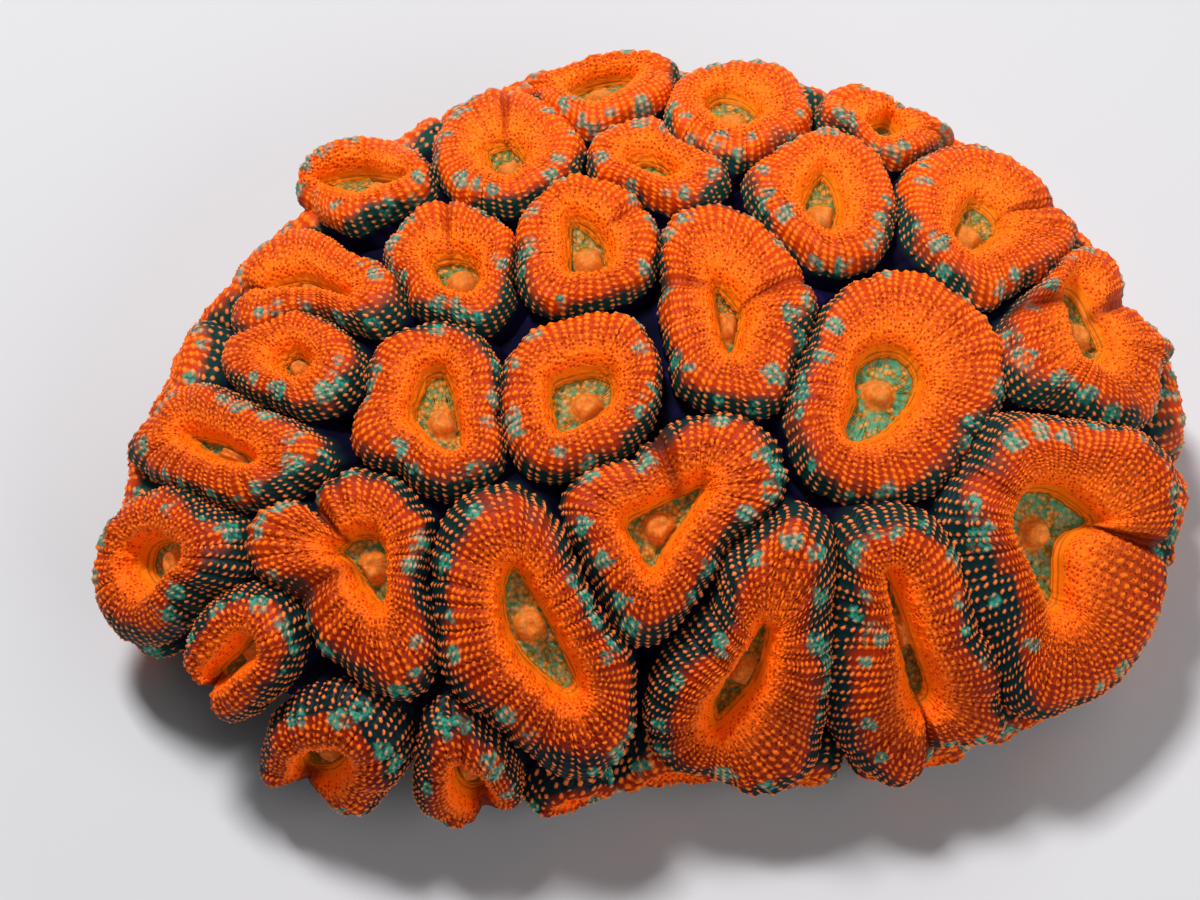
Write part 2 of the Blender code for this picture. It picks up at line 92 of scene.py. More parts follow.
def dome_point(points, level=1.0):
    """Points pushed straight out from the middle of the rim, on to the dome or a level in it."""
    centre = np.array([0.0, 0.0, RIM_HEIGHT])
    return centre + (points - centre) * (level / dome_level(points))[..., None]


def dome_normal(point, step=0.00005):
    """The way the dome faces at a point, from how its level grows."""
    slope = np.array([dome_level(point + step * side) - dome_level(point - step * side)
                      for side in np.eye(3)])
    return slope / np.linalg.norm(slope)


summit = dome_point(np.array([[0.0, 0.0, 0.03]]))[0]
print("the dome's summit stands", round(1000 * summit[2], 1), "mm over the cut")

# %% [markdown]
# The polyps are drawn where they are seen, in picture points from one viewpoint, and are then
# laid on the dome from there. So the viewpoint comes before the polyps. It looks down at 60
# degrees from 34 cm away, where ten picture points cover one millimetre. The camera takes the
# same place, and its lens is worked out from the width of the picture.

# %% The viewpoint and the camera
VIEW_ELEVATION = math.radians(60)
VIEW_DISTANCE = 0.340
VIEW_TARGET = np.array([-0.0058, -0.0075, 0.0134])
PICTURE_WIDTH = 1200
VIEW_CENTRE = np.array([600.0, 450.0])
POINTS_PER_METRE = 10000.0
VIEW_BACK = np.array([0.0, -math.cos(VIEW_ELEVATION), math.sin(VIEW_ELEVATION)])
VIEW_UP = np.array([0.0, math.sin(VIEW_ELEVATION), math.cos(VIEW_ELEVATION)])
VIEW_RIGHT = np.array([1.0, 0.0, 0.0])
EYE = VIEW_TARGET + VIEW_BACK * VIEW_DISTANCE

bpy.ops.object.camera_add(location=EYE, rotation=(math.radians(90) - VIEW_ELEVATION, 0, 0))
camera = bpy.context.object
camera.name = "photo_camera"
camera.data.sensor_width = 36.0
camera.data.lens = camera.data.sensor_width * POINTS_PER_METRE * VIEW_DISTANCE / PICTURE_WIDTH
camera.data.clip_start = 0.01
bpy.context.scene.camera = camera
print("camera lens", round(camera.data.lens, 1), "mm at", [round(float(c), 3) for c in EYE])

# %% [markdown]
# A pale floor and three soft lamps show a wet, bumpy thing well. The key lamp hangs high, a
# little behind and to the left, so that every bead throws a short soft shadow towards the
# viewer. A broad fill lamp at the front right lightens those shadows, and a back lamp at the
# rear right lifts the far edge off the floor. The view transform is the plain one, because the
# film-like one turns strong orange into salmon.

# %% Floor, lights and colour
FLOOR_SIZE = 3.0
FLOOR_GAP = 0.0003
FLOOR_GREY = (0.56, 0.56, 0.58, 1)
ROOM_GREY = (0.90, 0.90, 0.90, 1)
ROOM_STRENGTH = 0.09
LAMP_AIM = Vector((0, 0, 0.015))
# Each lamp's place, its watts and its width
LAMPS = {
    "key_lamp": ((-0.16, 0.20, 0.60), 4.7, 0.13),
    "fill_lamp": ((0.40, -0.35, 0.35), 1.6, 0.45),
    "back_lamp": ((0.35, 0.40, 0.30), 0.9, 0.35),
}

bpy.ops.mesh.primitive_plane_add(size=FLOOR_SIZE, location=(0, 0, -FLOOR_GAP))
floor = bpy.context.object
floor.name = "floor"
floor_paint = bpy.data.materials.new("pale_floor")
floor_paint.use_nodes = True
floor_surface = floor_paint.node_tree.nodes["Principled BSDF"]
floor_surface.inputs["Base Color"].default_value = FLOOR_GREY
floor_surface.inputs["Roughness"].default_value = 0.85
floor.data.materials.append(floor_paint)


def soft_lamp(name, place, watts, size):
    """A square lamp that looks at the coral."""
    bpy.ops.object.light_add(type="AREA", location=place)
    lamp = bpy.context.object
    lamp.name = name
    lamp.data.energy = watts
    lamp.data.size = size
    aim = LAMP_AIM - Vector(place)
    lamp.rotation_euler = aim.to_track_quat("-Z", "Y").to_euler()


for lamp_name, (lamp_place, watts, width) in LAMPS.items():
    soft_lamp(lamp_name, lamp_place, watts, width)
world = bpy.data.worlds.new("soft_room")
world.use_nodes = True
world.node_tree.nodes["Background"].inputs["Color"].default_value = ROOM_GREY
world.node_tree.nodes["Background"].inputs["Strength"].default_value = ROOM_STRENGTH
bpy.context.scene.world = world
bpy.context.scene.view_settings.view_transform = "Standard"

# %% [markdown]
# Each seen polyp is two loops of picture points: its outline, and the edge of its sunken disc. The
# points count right and down from the top left corner of a picture of 1200 by 900. No two polyps
# are alike on the real colony, so the loops are given one by one and not made by a rule. A smooth
# curve through a dozen or two points is enough for a lobed outline. The third entry is the mouth,
# a small bump that stands off the middle of the disc.

# %% The seen polyps
SEEN_POLYPS = {
    "top_left": (
        [(298, 188), (310, 160), (336, 143), (367, 137), (405, 146), (430, 165), (428, 192),
         (400, 207), (375, 218), (352, 228), (325, 218), (303, 205)],
        [(322, 180), (365, 172), (408, 180), (368, 192)],
        (369, 184)),
    "upper_left": (
        [(431, 150), (445, 122), (470, 100), (500, 88), (532, 96), (562, 114), (583, 140),
         (574, 168), (548, 190), (512, 207), (470, 201), (440, 181)],
        [(488, 148), (510, 142), (524, 158), (514, 174), (496, 170)],
        (507, 164)),
    "top": (
        [(521, 80), (560, 72), (600, 58), (640, 52), (674, 61), (676, 80), (657, 102),
         (625, 118), (590, 132), (562, 116), (536, 98)],
        [(570, 92), (600, 80), (630, 78), (620, 92), (590, 102)],
        (600, 88)),
    "top_right": (
        [(663, 108), (675, 83), (705, 68), (735, 62), (765, 62), (790, 72), (806, 92),
         (813, 115), (800, 134), (770, 150), (738, 162), (700, 150), (672, 130)],
        [(708, 105), (720, 95), (742, 98), (757, 112), (745, 124), (722, 120)],
        (734, 115)),
    "top_middle": (
        [(587, 150), (600, 133), (630, 121), (657, 119), (673, 138), (695, 151), (722, 162),
         (731, 178), (712, 200), (680, 207), (655, 200), (620, 184), (595, 176)],
        [(630, 162), (652, 158), (672, 172), (655, 180)],
        (655, 173)),
    "right_of_top": (
        [(744, 178), (762, 157), (795, 137), (825, 129), (855, 138), (882, 158), (896, 190),
         (896, 220), (880, 255), (848, 268), (815, 262), (780, 235), (757, 212)],
        [(822, 172), (836, 190), (838, 212), (828, 230), (812, 218), (806, 198)],
        (824, 209)),
    "top_right_edge": (
        [(820, 112), (828, 92), (855, 85), (884, 97), (905, 111), (940, 122), (955, 138),
         (930, 150), (900, 161), (873, 152), (848, 131)],
        [(866, 128), (885, 120), (897, 132), (880, 141)],
        (880, 133)),
    "right_shoulder": (
        [(902, 185), (910, 163), (935, 150), (970, 145), (1005, 157), (1037, 180), (1060, 207),
         (1078, 232), (1058, 262), (1020, 285), (990, 303), (965, 290), (935, 262), (910, 235)],
        [(975, 200), (994, 212), (996, 230), (980, 243), (964, 250), (956, 236), (962, 214)],
        (972, 230)),
    "middle_left_of_summit": (
        [(383, 255), (395, 230), (420, 206), (445, 198), (478, 208), (508, 225), (516, 245),
         (511, 275), (512, 300), (492, 325), (465, 327), (440, 316), (412, 308), (403, 285)],
        [(432, 264), (448, 256), (468, 259), (478, 273), (470, 291), (452, 291)],
        (459, 276)),
    "summit_back": (
        [(516, 250), (516, 225), (530, 205), (555, 182), (582, 174), (603, 182), (632, 190),
         (652, 212), (659, 240), (652, 275), (630, 293), (595, 304), (560, 310), (533, 305),
         (518, 282)],
        [(571, 220), (586, 224), (603, 242), (606, 268), (588, 273), (571, 270), (570, 245)],
        (588, 254)),
    "long_summit": (
        [(661, 245), (664, 225), (685, 207), (715, 203), (745, 211), (770, 228), (790, 252),
         (810, 276), (818, 298), (811, 330), (797, 360), (788, 390), (770, 411), (735, 409),
         (700, 402), (677, 385), (670, 355), (661, 320), (660, 280)],
        [(716, 284), (727, 292), (739, 308), (739, 326), (731, 350), (722, 334), (717, 308)],
        (729, 320)),
    "left_wide": (
        [(229, 325), (232, 304), (242, 285), (248, 262), (268, 243), (300, 230), (330, 235),
         (358, 255), (382, 262), (400, 283), (398, 308), (378, 330), (352, 326), (325, 313),
         (290, 316), (262, 332), (238, 334)],
        [(265, 288), (305, 277), (347, 295), (310, 290)],
        (306, 284)),
    "left_round": (
        [(222, 365), (226, 345), (245, 333), (270, 324), (296, 312), (325, 318), (350, 336),
         (361, 360), (355, 385), (335, 405), (305, 413), (270, 402), (238, 388)],
        [(281, 362), (294, 350), (308, 362), (294, 376)],
        (294, 363)),
    "left_long": (
        [(129, 452), (140, 432), (158, 412), (175, 391), (200, 382), (228, 388), (262, 407),
         (300, 422), (323, 442), (326, 465), (305, 485), (270, 503), (235, 505), (200, 495),
         (165, 482), (140, 468)],
        [(190, 434), (222, 441), (252, 460), (228, 458), (204, 448)],
        (224, 451)),
    "left_bowl": (
        [(98, 558), (108, 530), (130, 505), (155, 488), (180, 487), (212, 507), (237, 525),
         (240, 560), (232, 582), (205, 600), (180, 625), (155, 643), (125, 638), (106, 615),
         (98, 590)],
        [(142, 556), (150, 543), (168, 540), (182, 553), (175, 572), (157, 586), (143, 574)],
        (161, 562)),
    "left_lobed": (
        [(246, 550), (250, 520), (270, 505), (295, 501), (314, 514), (311, 494), (335, 474),
         (360, 468), (392, 478), (420, 503), (432, 530), (424, 565), (424, 592), (434, 625),
         (434, 665), (415, 695), (383, 695), (345, 670), (315, 645), (303, 615), (282, 590),
         (255, 572)],
        [(338, 549), (355, 536), (375, 536), (385, 556), (386, 582), (380, 602), (366, 588),
         (351, 564)],
        (369, 566)),
    "front_long": (
        [(434, 560), (440, 530), (455, 508), (480, 491), (510, 486), (540, 502), (563, 530),
         (580, 568), (598, 605), (620, 638), (637, 667), (638, 702), (630, 745), (608, 770),
         (580, 780), (548, 768), (515, 743), (480, 712), (448, 686), (440, 640), (435, 600)],
        [(507, 582), (515, 570), (530, 588), (548, 618), (563, 650), (577, 682), (568, 694),
         (549, 681), (527, 660), (512, 636), (505, 608)],
        (532, 628)),
    "front_heart": (
        [(561, 508), (567, 487), (590, 468), (618, 459), (635, 460), (643, 442), (665, 425),
         (700, 414), (740, 415), (770, 432), (786, 468), (782, 500), (758, 526), (728, 544),
         (716, 572), (693, 604), (665, 637), (640, 646), (618, 630), (602, 598), (585, 565),
         (570, 535)],
        [(627, 522), (658, 504), (684, 491), (703, 486), (688, 514), (669, 541), (652, 567),
         (638, 548)],
        (660, 526)),
    "middle_square": (
        [(502, 370), (512, 350), (535, 326), (565, 318), (600, 311), (632, 315), (650, 335),
         (661, 365), (659, 400), (648, 428), (625, 450), (590, 468), (555, 477), (525, 470),
         (508, 445), (501, 410)],
        [(553, 383), (571, 374), (591, 370), (609, 375), (612, 395), (598, 412), (577, 424),
         (560, 429), (552, 408)],
        (587, 401)),
    "middle_left": (
        [(364, 372), (375, 350), (395, 332), (425, 323), (455, 322), (482, 336), (498, 360),
         (501, 395), (498, 418), (503, 442), (496, 472), (470, 490), (445, 497), (420, 488),
         (395, 467), (368, 460), (350, 440), (353, 418), (366, 395)],
        [(426, 375), (440, 370), (448, 380), (454, 404), (460, 434), (456, 448), (438, 442),
         (422, 428), (412, 411), (418, 392)],
        (442, 416)),
    "largest_round": (
        [(818, 322), (828, 300), (855, 280), (900, 268), (940, 281), (975, 305), (1000, 338),
         (1007, 380), (995, 418), (970, 453), (940, 486), (905, 499), (860, 500), (820, 488),
         (798, 460), (787, 420), (793, 380), (806, 348)],
        [(860, 362), (880, 350), (903, 352), (918, 372), (914, 394), (899, 415), (878, 433),
         (854, 438), (847, 424), (857, 398), (856, 378)],
        (881, 388)),
    "right_curled": (
        [(1003, 330), (1015, 305), (1045, 280), (1062, 258), (1085, 247), (1108, 258),
         (1121, 285), (1132, 312), (1155, 333), (1172, 352), (1160, 372), (1160, 400),
         (1145, 425), (1110, 420), (1065, 403), (1030, 398), (1008, 378)],
        [(1064, 286), (1080, 292), (1096, 322), (1106, 346), (1092, 362), (1077, 345),
         (1069, 312)],
        (1086, 330)),
    "right_large": (
        [(983, 440), (1000, 417), (1035, 415), (1080, 421), (1125, 427), (1152, 440),
         (1170, 465), (1175, 500), (1170, 535), (1164, 565), (1160, 600), (1145, 640),
         (1115, 682), (1080, 703), (1035, 718), (1010, 700), (1000, 660), (980, 620),
         (962, 570), (948, 525), (955, 490), (973, 463)],
        [(1013, 522), (1022, 500), (1041, 490), (1066, 495), (1090, 512), (1098, 524),
         (1076, 534), (1065, 552), (1064, 578), (1061, 604), (1047, 606), (1033, 578),
         (1019, 550)],
        (1047, 535)),
    "front_right": (
        [(836, 560), (845, 532), (860, 518), (885, 512), (908, 511), (935, 522), (953, 545),
         (966, 582), (978, 625), (1000, 665), (1000, 695), (1000, 735), (962, 744), (937, 748),
         (922, 772), (895, 786), (865, 772), (840, 745), (829, 700), (832, 640)],
        [(886, 570), (901, 604), (916, 648), (930, 692), (918, 704), (907, 668), (896, 624)],
        (908, 640)),
    "front_middle": (
        [(725, 560), (750, 540), (775, 522), (797, 511), (822, 520), (835, 548), (833, 600),
         (832, 655), (826, 712), (817, 757), (795, 783), (757, 794), (722, 780), (690, 772),
         (662, 765), (646, 735), (646, 700), (658, 670), (683, 637), (708, 612), (718, 588)],
        [(767, 626), (766, 650), (756, 682), (738, 706), (718, 724), (715, 706), (726, 684),
         (742, 660), (755, 640)],
        (744, 680)),
    "lower_left": (
        [(190, 650), (197, 620), (215, 600), (245, 587), (275, 591), (295, 612), (299, 645),
         (290, 678), (265, 702), (238, 722), (220, 712), (212, 690), (197, 665)],
        [(250, 636), (260, 650), (243, 664), (222, 680), (216, 672), (234, 654)],
        (246, 656)),
    "bottom_left": (
        [(259, 767), (264, 740), (272, 722), (292, 704), (325, 692), (360, 697), (390, 718),
         (408, 745), (405, 770), (390, 792), (368, 812), (345, 806), (325, 792), (285, 783)],
        [(302, 760), (318, 748), (338, 748), (345, 762), (328, 776), (306, 775)],
        (326, 762)),
    "bottom": (
        [(416, 800), (418, 765), (422, 730), (437, 711), (460, 712), (490, 734), (512, 762),
         (523, 788), (510, 812), (480, 812), (445, 817)],
        [(455, 762), (474, 768), (490, 788), (472, 797), (457, 784)],
        (470, 782)),
}
print(len(SEEN_POLYPS), "seen polyps")

# %% [markdown]
# Some rings are folded in where neighbours press on them, and some lean over, so that more of
# their wall shows. Both could be drawn into the outline, but a fold is sharper than a smooth
# curve can turn, and a leaning wall changes the section and not the outline. So two tables give
# each mark by its place on the polyp's edge in picture points, its size and its half width in
# metres: the size is a depth for a crease, and an extra width for a broad wall.

# %% Creases and broad walls
CREASES = {
    "right_large": [((1168, 552), 0.0026, 0.0012), ((962, 470), 0.0006, 0.0010)],
    "lower_left": [((216, 700), 0.0030, 0.0016)],
    "left_lobed": [((318, 500), 0.0016, 0.0014), ((300, 600), 0.0009, 0.0016)],
    "front_heart": [((660, 440), 0.0012, 0.0012)],
    "right_curled": [((1003, 305), 0.0014, 0.0016), ((1130, 300), 0.0012, 0.0014)],
    "long_summit": [((668, 285), 0.0008, 0.0011), ((812, 280), 0.0010, 0.0012)],
    "left_wide": [((240, 300), 0.0016, 0.0018)],
    "front_right": [((928, 764), 0.0016, 0.0014)],
    "bottom_left": [((300, 787), 0.0022, 0.0036)],
    "bottom": [((462, 716), 0.0010, 0.0010), ((497, 808), 0.0022, 0.0030)],
    "middle_left_of_summit": [((447, 198), 0.0008, 0.0008)],
    "summit_back": [((640, 205), 0.0006, 0.0010)],
    "right_shoulder": [((1050, 210), 0.0008, 0.0014)],
    "upper_left": [((505, 92), 0.0010, 0.0012)],
}
BROAD_WALLS = {
    "front_right": [((838, 640), 0.0024, 0.0085)],
    "right_large": [((965, 590), 0.0024, 0.0085)],
    "front_middle": [((690, 630), 0.0012, 0.0060)],
    "right_curled": [((1065, 404), 0.0012, 0.0050)],
    "left_bowl": [((205, 600), 0.0010, 0.0050)],
}
print(len(CREASES), "creased polyps,", len(BROAD_WALLS), "with a broad wall")

# %% [markdown]
# The sides and the back are hidden in the picture, but a colony is covered all round. There the
# polyps are rounder, so four numbers are enough for each: its plan angle in degrees, and its
# height over the cut, its width and its length in metres.

# %% The polyps of the far side
HIDDEN_POLYPS = {
    "back_right_end": (22, 0.0145, 0.015, 0.0095),
    "back_right": (46, 0.0160, 0.016, 0.0095),
    "back_right_of_middle": (70, 0.0170, 0.014, 0.0110),
    "back_middle": (93, 0.0165, 0.015, 0.0110),
    "back_left_of_middle": (117, 0.0180, 0.013, 0.0130),
    "back_left": (135, 0.0160, 0.012, 0.0130),
    "back_left_end": (152, 0.0140, 0.015, 0.0100),
    "left_upper_back": (167, 0.0155, 0.014, 0.0120),
    "left_upper": (181, 0.0160, 0.013, 0.0110),
    "low_right": (0, 0.0090, 0.014, 0.0125),
    "low_right_back": (16, 0.0060, 0.012, 0.0090),
    "low_back_1": (32, 0.0060, 0.013, 0.0090),
    "low_back_2": (50, 0.0065, 0.013, 0.0090),
    "low_back_3": (69, 0.0065, 0.013, 0.0095),
    "low_back_4": (89, 0.0065, 0.013, 0.0095),
    "low_back_5": (109, 0.0070, 0.013, 0.0100),
    "low_back_6": (128, 0.0065, 0.013, 0.0100),
    "low_back_7": (144, 0.0060, 0.012, 0.0090),
    "low_left_back": (159, 0.0060, 0.013, 0.0090),
    "low_left_1": (175, 0.0070, 0.013, 0.0100),
    "low_left_2": (191, 0.0095, 0.013, 0.0120),
    "low_left_3": (203, 0.0045, 0.010, 0.0065),
    "low_front_1": (258, 0.0068, 0.009, 0.0066),
    "low_front_2": (271, 0.0066, 0.012, 0.0066),
    "low_front_3": (287, 0.0064, 0.013, 0.0066),
    "low_front_4": (304, 0.0060, 0.013, 0.0070),
    "low_front_5": (319, 0.0060, 0.013, 0.0070),
    "low_front_6": (333, 0.0055, 0.012, 0.0085),
    "low_right_front": (346, 0.0070, 0.012, 0.0110),
}
print(len(HIDDEN_POLYPS), "hidden polyps")

# %% [markdown]
# A polyp that stands at the edge of the dome turns its face towards the light, and so doesn't
# follow the dome all the way round. So each polyp gets a seat on the dome and a facing of its
# own, at most 50 degrees from the viewpoint. Its loops are laid on that face, and bend a few
# millimetres at most after the dome.

# %% Laying drawn loops on the dome
STEEPEST_POLYP = math.radians(50)
CURVE_LIMIT = 0.0032
LOWEST_FLESH = 0.0009
FINE_COUNT = 480
CURVE_STEPS = 12
SIGHT_SPAN = 0.09
SIGHT_STEPS = 1201
DRIFT_SHARE = 0.85
BLUR_PARTS = 6
FLAT_SHARE = 0.3
HIDDEN_DISC_SHARE = 0.3
SEAT_ROUNDS = 8


def sight_lines(view_points):
    """Unit directions from the eye through picture points."""
    aside = (view_points - VIEW_CENTRE) / POINTS_PER_METRE / VIEW_DISTANCE
    lines = aside[:, :1] * VIEW_RIGHT - aside[:, 1:] * VIEW_UP - VIEW_BACK
    return lines / np.linalg.norm(lines, axis=1, keepdims=True)


def reach_of_dome(lines):
    """How far along each line of sight the dome is met, or passed closest."""
    reach = np.linspace(VIEW_DISTANCE - SIGHT_SPAN, VIEW_DISTANCE + SIGHT_SPAN, SIGHT_STEPS)
    levels = dome_level(EYE + lines[:, None, :] * reach[None, :, None])
    missed = levels.min(axis=1) > 1.0
    return reach[np.where(missed, levels.argmin(axis=1), np.argmax(levels <= 1.0, axis=1))]


def smooth_loop(points, count):
    """A closed smooth curve through the points, as evenly spaced samples, turning one way."""
    points = np.array(points, float)
    weights = curve_weights(np.linspace(0, 1, CURVE_STEPS, endpoint=False))
    pieces = [sum(weights[:, step:step + 1] * points[(index + step - 1) % len(points)]
                  for step in range(4)) for index in range(len(points))]
    curve = np.concatenate(pieces)
    following = np.roll(curve, -1, axis=0)
    if (curve[:, 0] * following[:, 1] - following[:, 0] * curve[:, 1]).sum() < 0:
        curve = curve[::-1]
    closed = np.concatenate([curve, curve[:1]])
    length = np.concatenate([[0], np.cumsum(np.linalg.norm(np.diff(closed, axis=0), axis=1))])
    wanted = np.linspace(0, length[-1], count, endpoint=False)
    return np.stack([np.interp(wanted, length, closed[:, side]) for side in (0, 1)], axis=1)


def paired_disc(outline, disc_points):
    """For each outline point its partner on the disc's edge, spread smoothly round it."""
    count = len(outline)
    disc = smooth_loop(disc_points, count)
    gaps = np.linalg.norm(outline[:, None, :] - disc[None, :, :], axis=2)
    nearest = gaps.argmin(axis=1) / count
    even = np.arange(count) / count
    shift = np.angle(np.exp(2j * math.pi * (nearest - even)).mean()) / (2 * math.pi)
    drift = (nearest - even - shift + 0.5) % 1.0 - 0.5
    blur = np.hanning(count // BLUR_PARTS)
    drift = np.convolve(np.tile(drift, 3), blur / blur.sum(), "same")[count:2 * count]
    place = ((even + shift + DRIFT_SHARE * drift) % 1.0) * count
    index = np.floor(place).astype(int)
    part = (place - index)[:, None]
    return disc[index % count] * (1 - part) + disc[(index + 1) % count] * part


def seen_loops(outline_points, disc_points, mouth_point, creases, broad_walls):
    """The seat, facing, outline, disc edge, mouth, creases and broad walls of a seen polyp."""
    outline = smooth_loop(outline_points, FINE_COUNT)
    disc = paired_disc(outline, disc_points)
    line = sight_lines(outline.mean(axis=0)[None, :])
    seat = dome_point(EYE + line * reach_of_dome(line)[:, None])[0]
    outward = dome_normal(seat)
    to_eye = -line[0]
    if math.acos(np.clip(outward @ to_eye, -1, 1)) > STEEPEST_POLYP:
        side = outward - (outward @ to_eye) * to_eye
        side /= np.linalg.norm(side)
        outward = math.cos(STEEPEST_POLYP) * to_eye + math.sin(STEEPEST_POLYP) * side

    def laid(view_points):
        lines = sight_lines(view_points)
        flat_reach = ((seat - EYE) @ outward) / (lines @ outward)
        bend = reach_of_dome(lines) - flat_reach
        return EYE + lines * (flat_reach + CURVE_LIMIT * np.tanh(bend / CURVE_LIMIT))[:, None]

    mouth = laid(np.array([mouth_point], float))[0]
    cuts, broad = ([(laid(np.array([place], float))[0], depth, half_width)
                    for place, depth, half_width in marks] for marks in (creases, broad_walls))
    return seat, outward, laid(outline), laid(disc), mouth, cuts, broad


def hidden_loops(angle, height, width, length):
    """The same things for a polyp placed by its plan angle and height."""
    bearing = np.array([math.cos(math.radians(angle)), math.sin(math.radians(angle)), 0.0])
    seat = bearing * dome_radius(np.array([math.radians(angle)]))[0] + [0, 0, height]
    for _ in range(SEAT_ROUNDS):
        seat = dome_point(seat[None, :])[0]
        seat = bearing * np.hypot(seat[0], seat[1]) + [0, 0, height]
    outward = dome_normal(seat)
    level_way = np.cross([0, 0, 1.0], outward)
    level_way /= np.linalg.norm(level_way)
    upward = np.cross(outward, level_way)
    places = np.arange(FINE_COUNT) / FINE_COUNT * 2 * math.pi
    turn = math.radians(3 * angle)
    lobes = 1 + 0.07 * np.cos(3 * places + turn) + 0.04 * np.cos(5 * places + 2 * turn)
    across = (np.cos(places) * width / 2 * lobes)[:, None] * level_way
    along = (np.sin(places) * length / 2 * lobes)[:, None] * upward

    def oval(share):
        flat = seat + (across + along) * share
        return flat * FLAT_SHARE + dome_point(flat) * (1 - FLAT_SHARE)

    disc = oval(HIDDEN_DISC_SHARE)
    return seat, outward, oval(1.0), disc, disc.mean(axis=0), [], []


print("loops are laid with", FINE_COUNT, "fine points each")

# %% [markdown]
# The flesh is one skin that rises out of the groove, swells over a rounded crest, slopes down
# inside, folds at the edge of the disc and rises again to a small mouth cone. It could be swept
# as one profile, but then every part of a ring would be equally thick. So twelve loops carry
# the section round the polyp, and a smooth curve runs through them from groove to mouth. The
# heights are measured along the polyp's own facing, and the insets in from its outline. The
# levels are shares of the dome's size.

# %% The section of a polyp
WIDEST_HEIGHT = -0.0012
SHOULDER_HEIGHT = 0.0012
SHOULDER_INSET = 0.0009
CREST_HEIGHT = 0.0022
CREST_INSET = 0.0034
CREST_SHARE = 0.44
SLOPE_HEIGHT = 0.0016
SLOPE_SHARE = 0.60
SMOOTH_BAND = 0.0016
DISC_RIM_HEIGHT = -0.0012
DISC_FLOOR_HEIGHT = -0.0022
CONE_RADIUS = 0.0016
CONE_HEIGHT = -0.0007
MOUTH_HEIGHT = -0.0011
DEEP_LEVEL = 0.74
ROOT_LEVEL = 0.80
GROOVE_LEVEL = 0.905
DISC_LEVEL = 0.90
LOW_BACK_SHARE = 0.45
BROAD_SHOULDER = 0.8
BROAD_CREST = 0.7
INNERMOST_CREST = 0.75
CREST_SWELL = 0.00035
SLOPE_SWELL = 0.0003
LOBE_WIDTH = 0.0040
LOBE_DEPTH = 0.00042
LOBE_DRIFT = 0.28
LOBE_POWER = 0.7
DEEP_CREASE = 0.0016
# The twelve loops in order, from the root in the groove to the mouth
(DEEP, ROOT, GROOVE, WIDEST, SHOULDER, CREST, SLOPE, RIM, FLOOR, CONE_FOOT, CONE_TOP,
 MOUTH) = range(12)


def swell(count, dice, size):
    """A gentle closed wave round the polyp, between about minus size and size."""
    places = np.arange(count) / count * 2 * math.pi
    wave = sum(np.cos(turns * places + dice.uniform(0, 6.28)) / turns ** 0.5
               for turns in (2, 3, 5, 7))
    return size * wave[:, None] / 2


def lobes_round(edge, dice):
    """One on each lobe of the ring and nought in the fold between two, round the polyp."""
    length = np.linalg.norm(np.roll(edge, -1, axis=0) - edge, axis=1).sum()
    lobes = max(5, round(length / LOBE_WIDTH))
    places = np.arange(len(edge)) / len(edge)
    drift = sum(LOBE_DRIFT * np.cos(2 * math.pi * turns * places + dice.uniform(0, 6.28))
                for turns in (2, 3, 5))
    return np.abs(np.sin(math.pi * (lobes * places + drift))) ** LOBE_POWER


def marks_round(edge, marks):
    """How large the creases or broad walls named in marks are round the polyp, in metres."""
    depth = np.zeros(len(edge))
    for place, cut, half_width in marks:
        gap = np.linalg.norm(edge - place, axis=1)
        nearest = gap.argmin()
        steps = np.linalg.norm(np.roll(edge, -1, axis=0) - edge, axis=1).mean()
        turns = np.abs((np.arange(len(edge)) - nearest + len(edge) // 2) % len(edge)
                       - len(edge) // 2)
        depth = np.maximum(depth, cut * np.exp(-(turns * steps / half_width) ** 2))
    return depth[:, None]


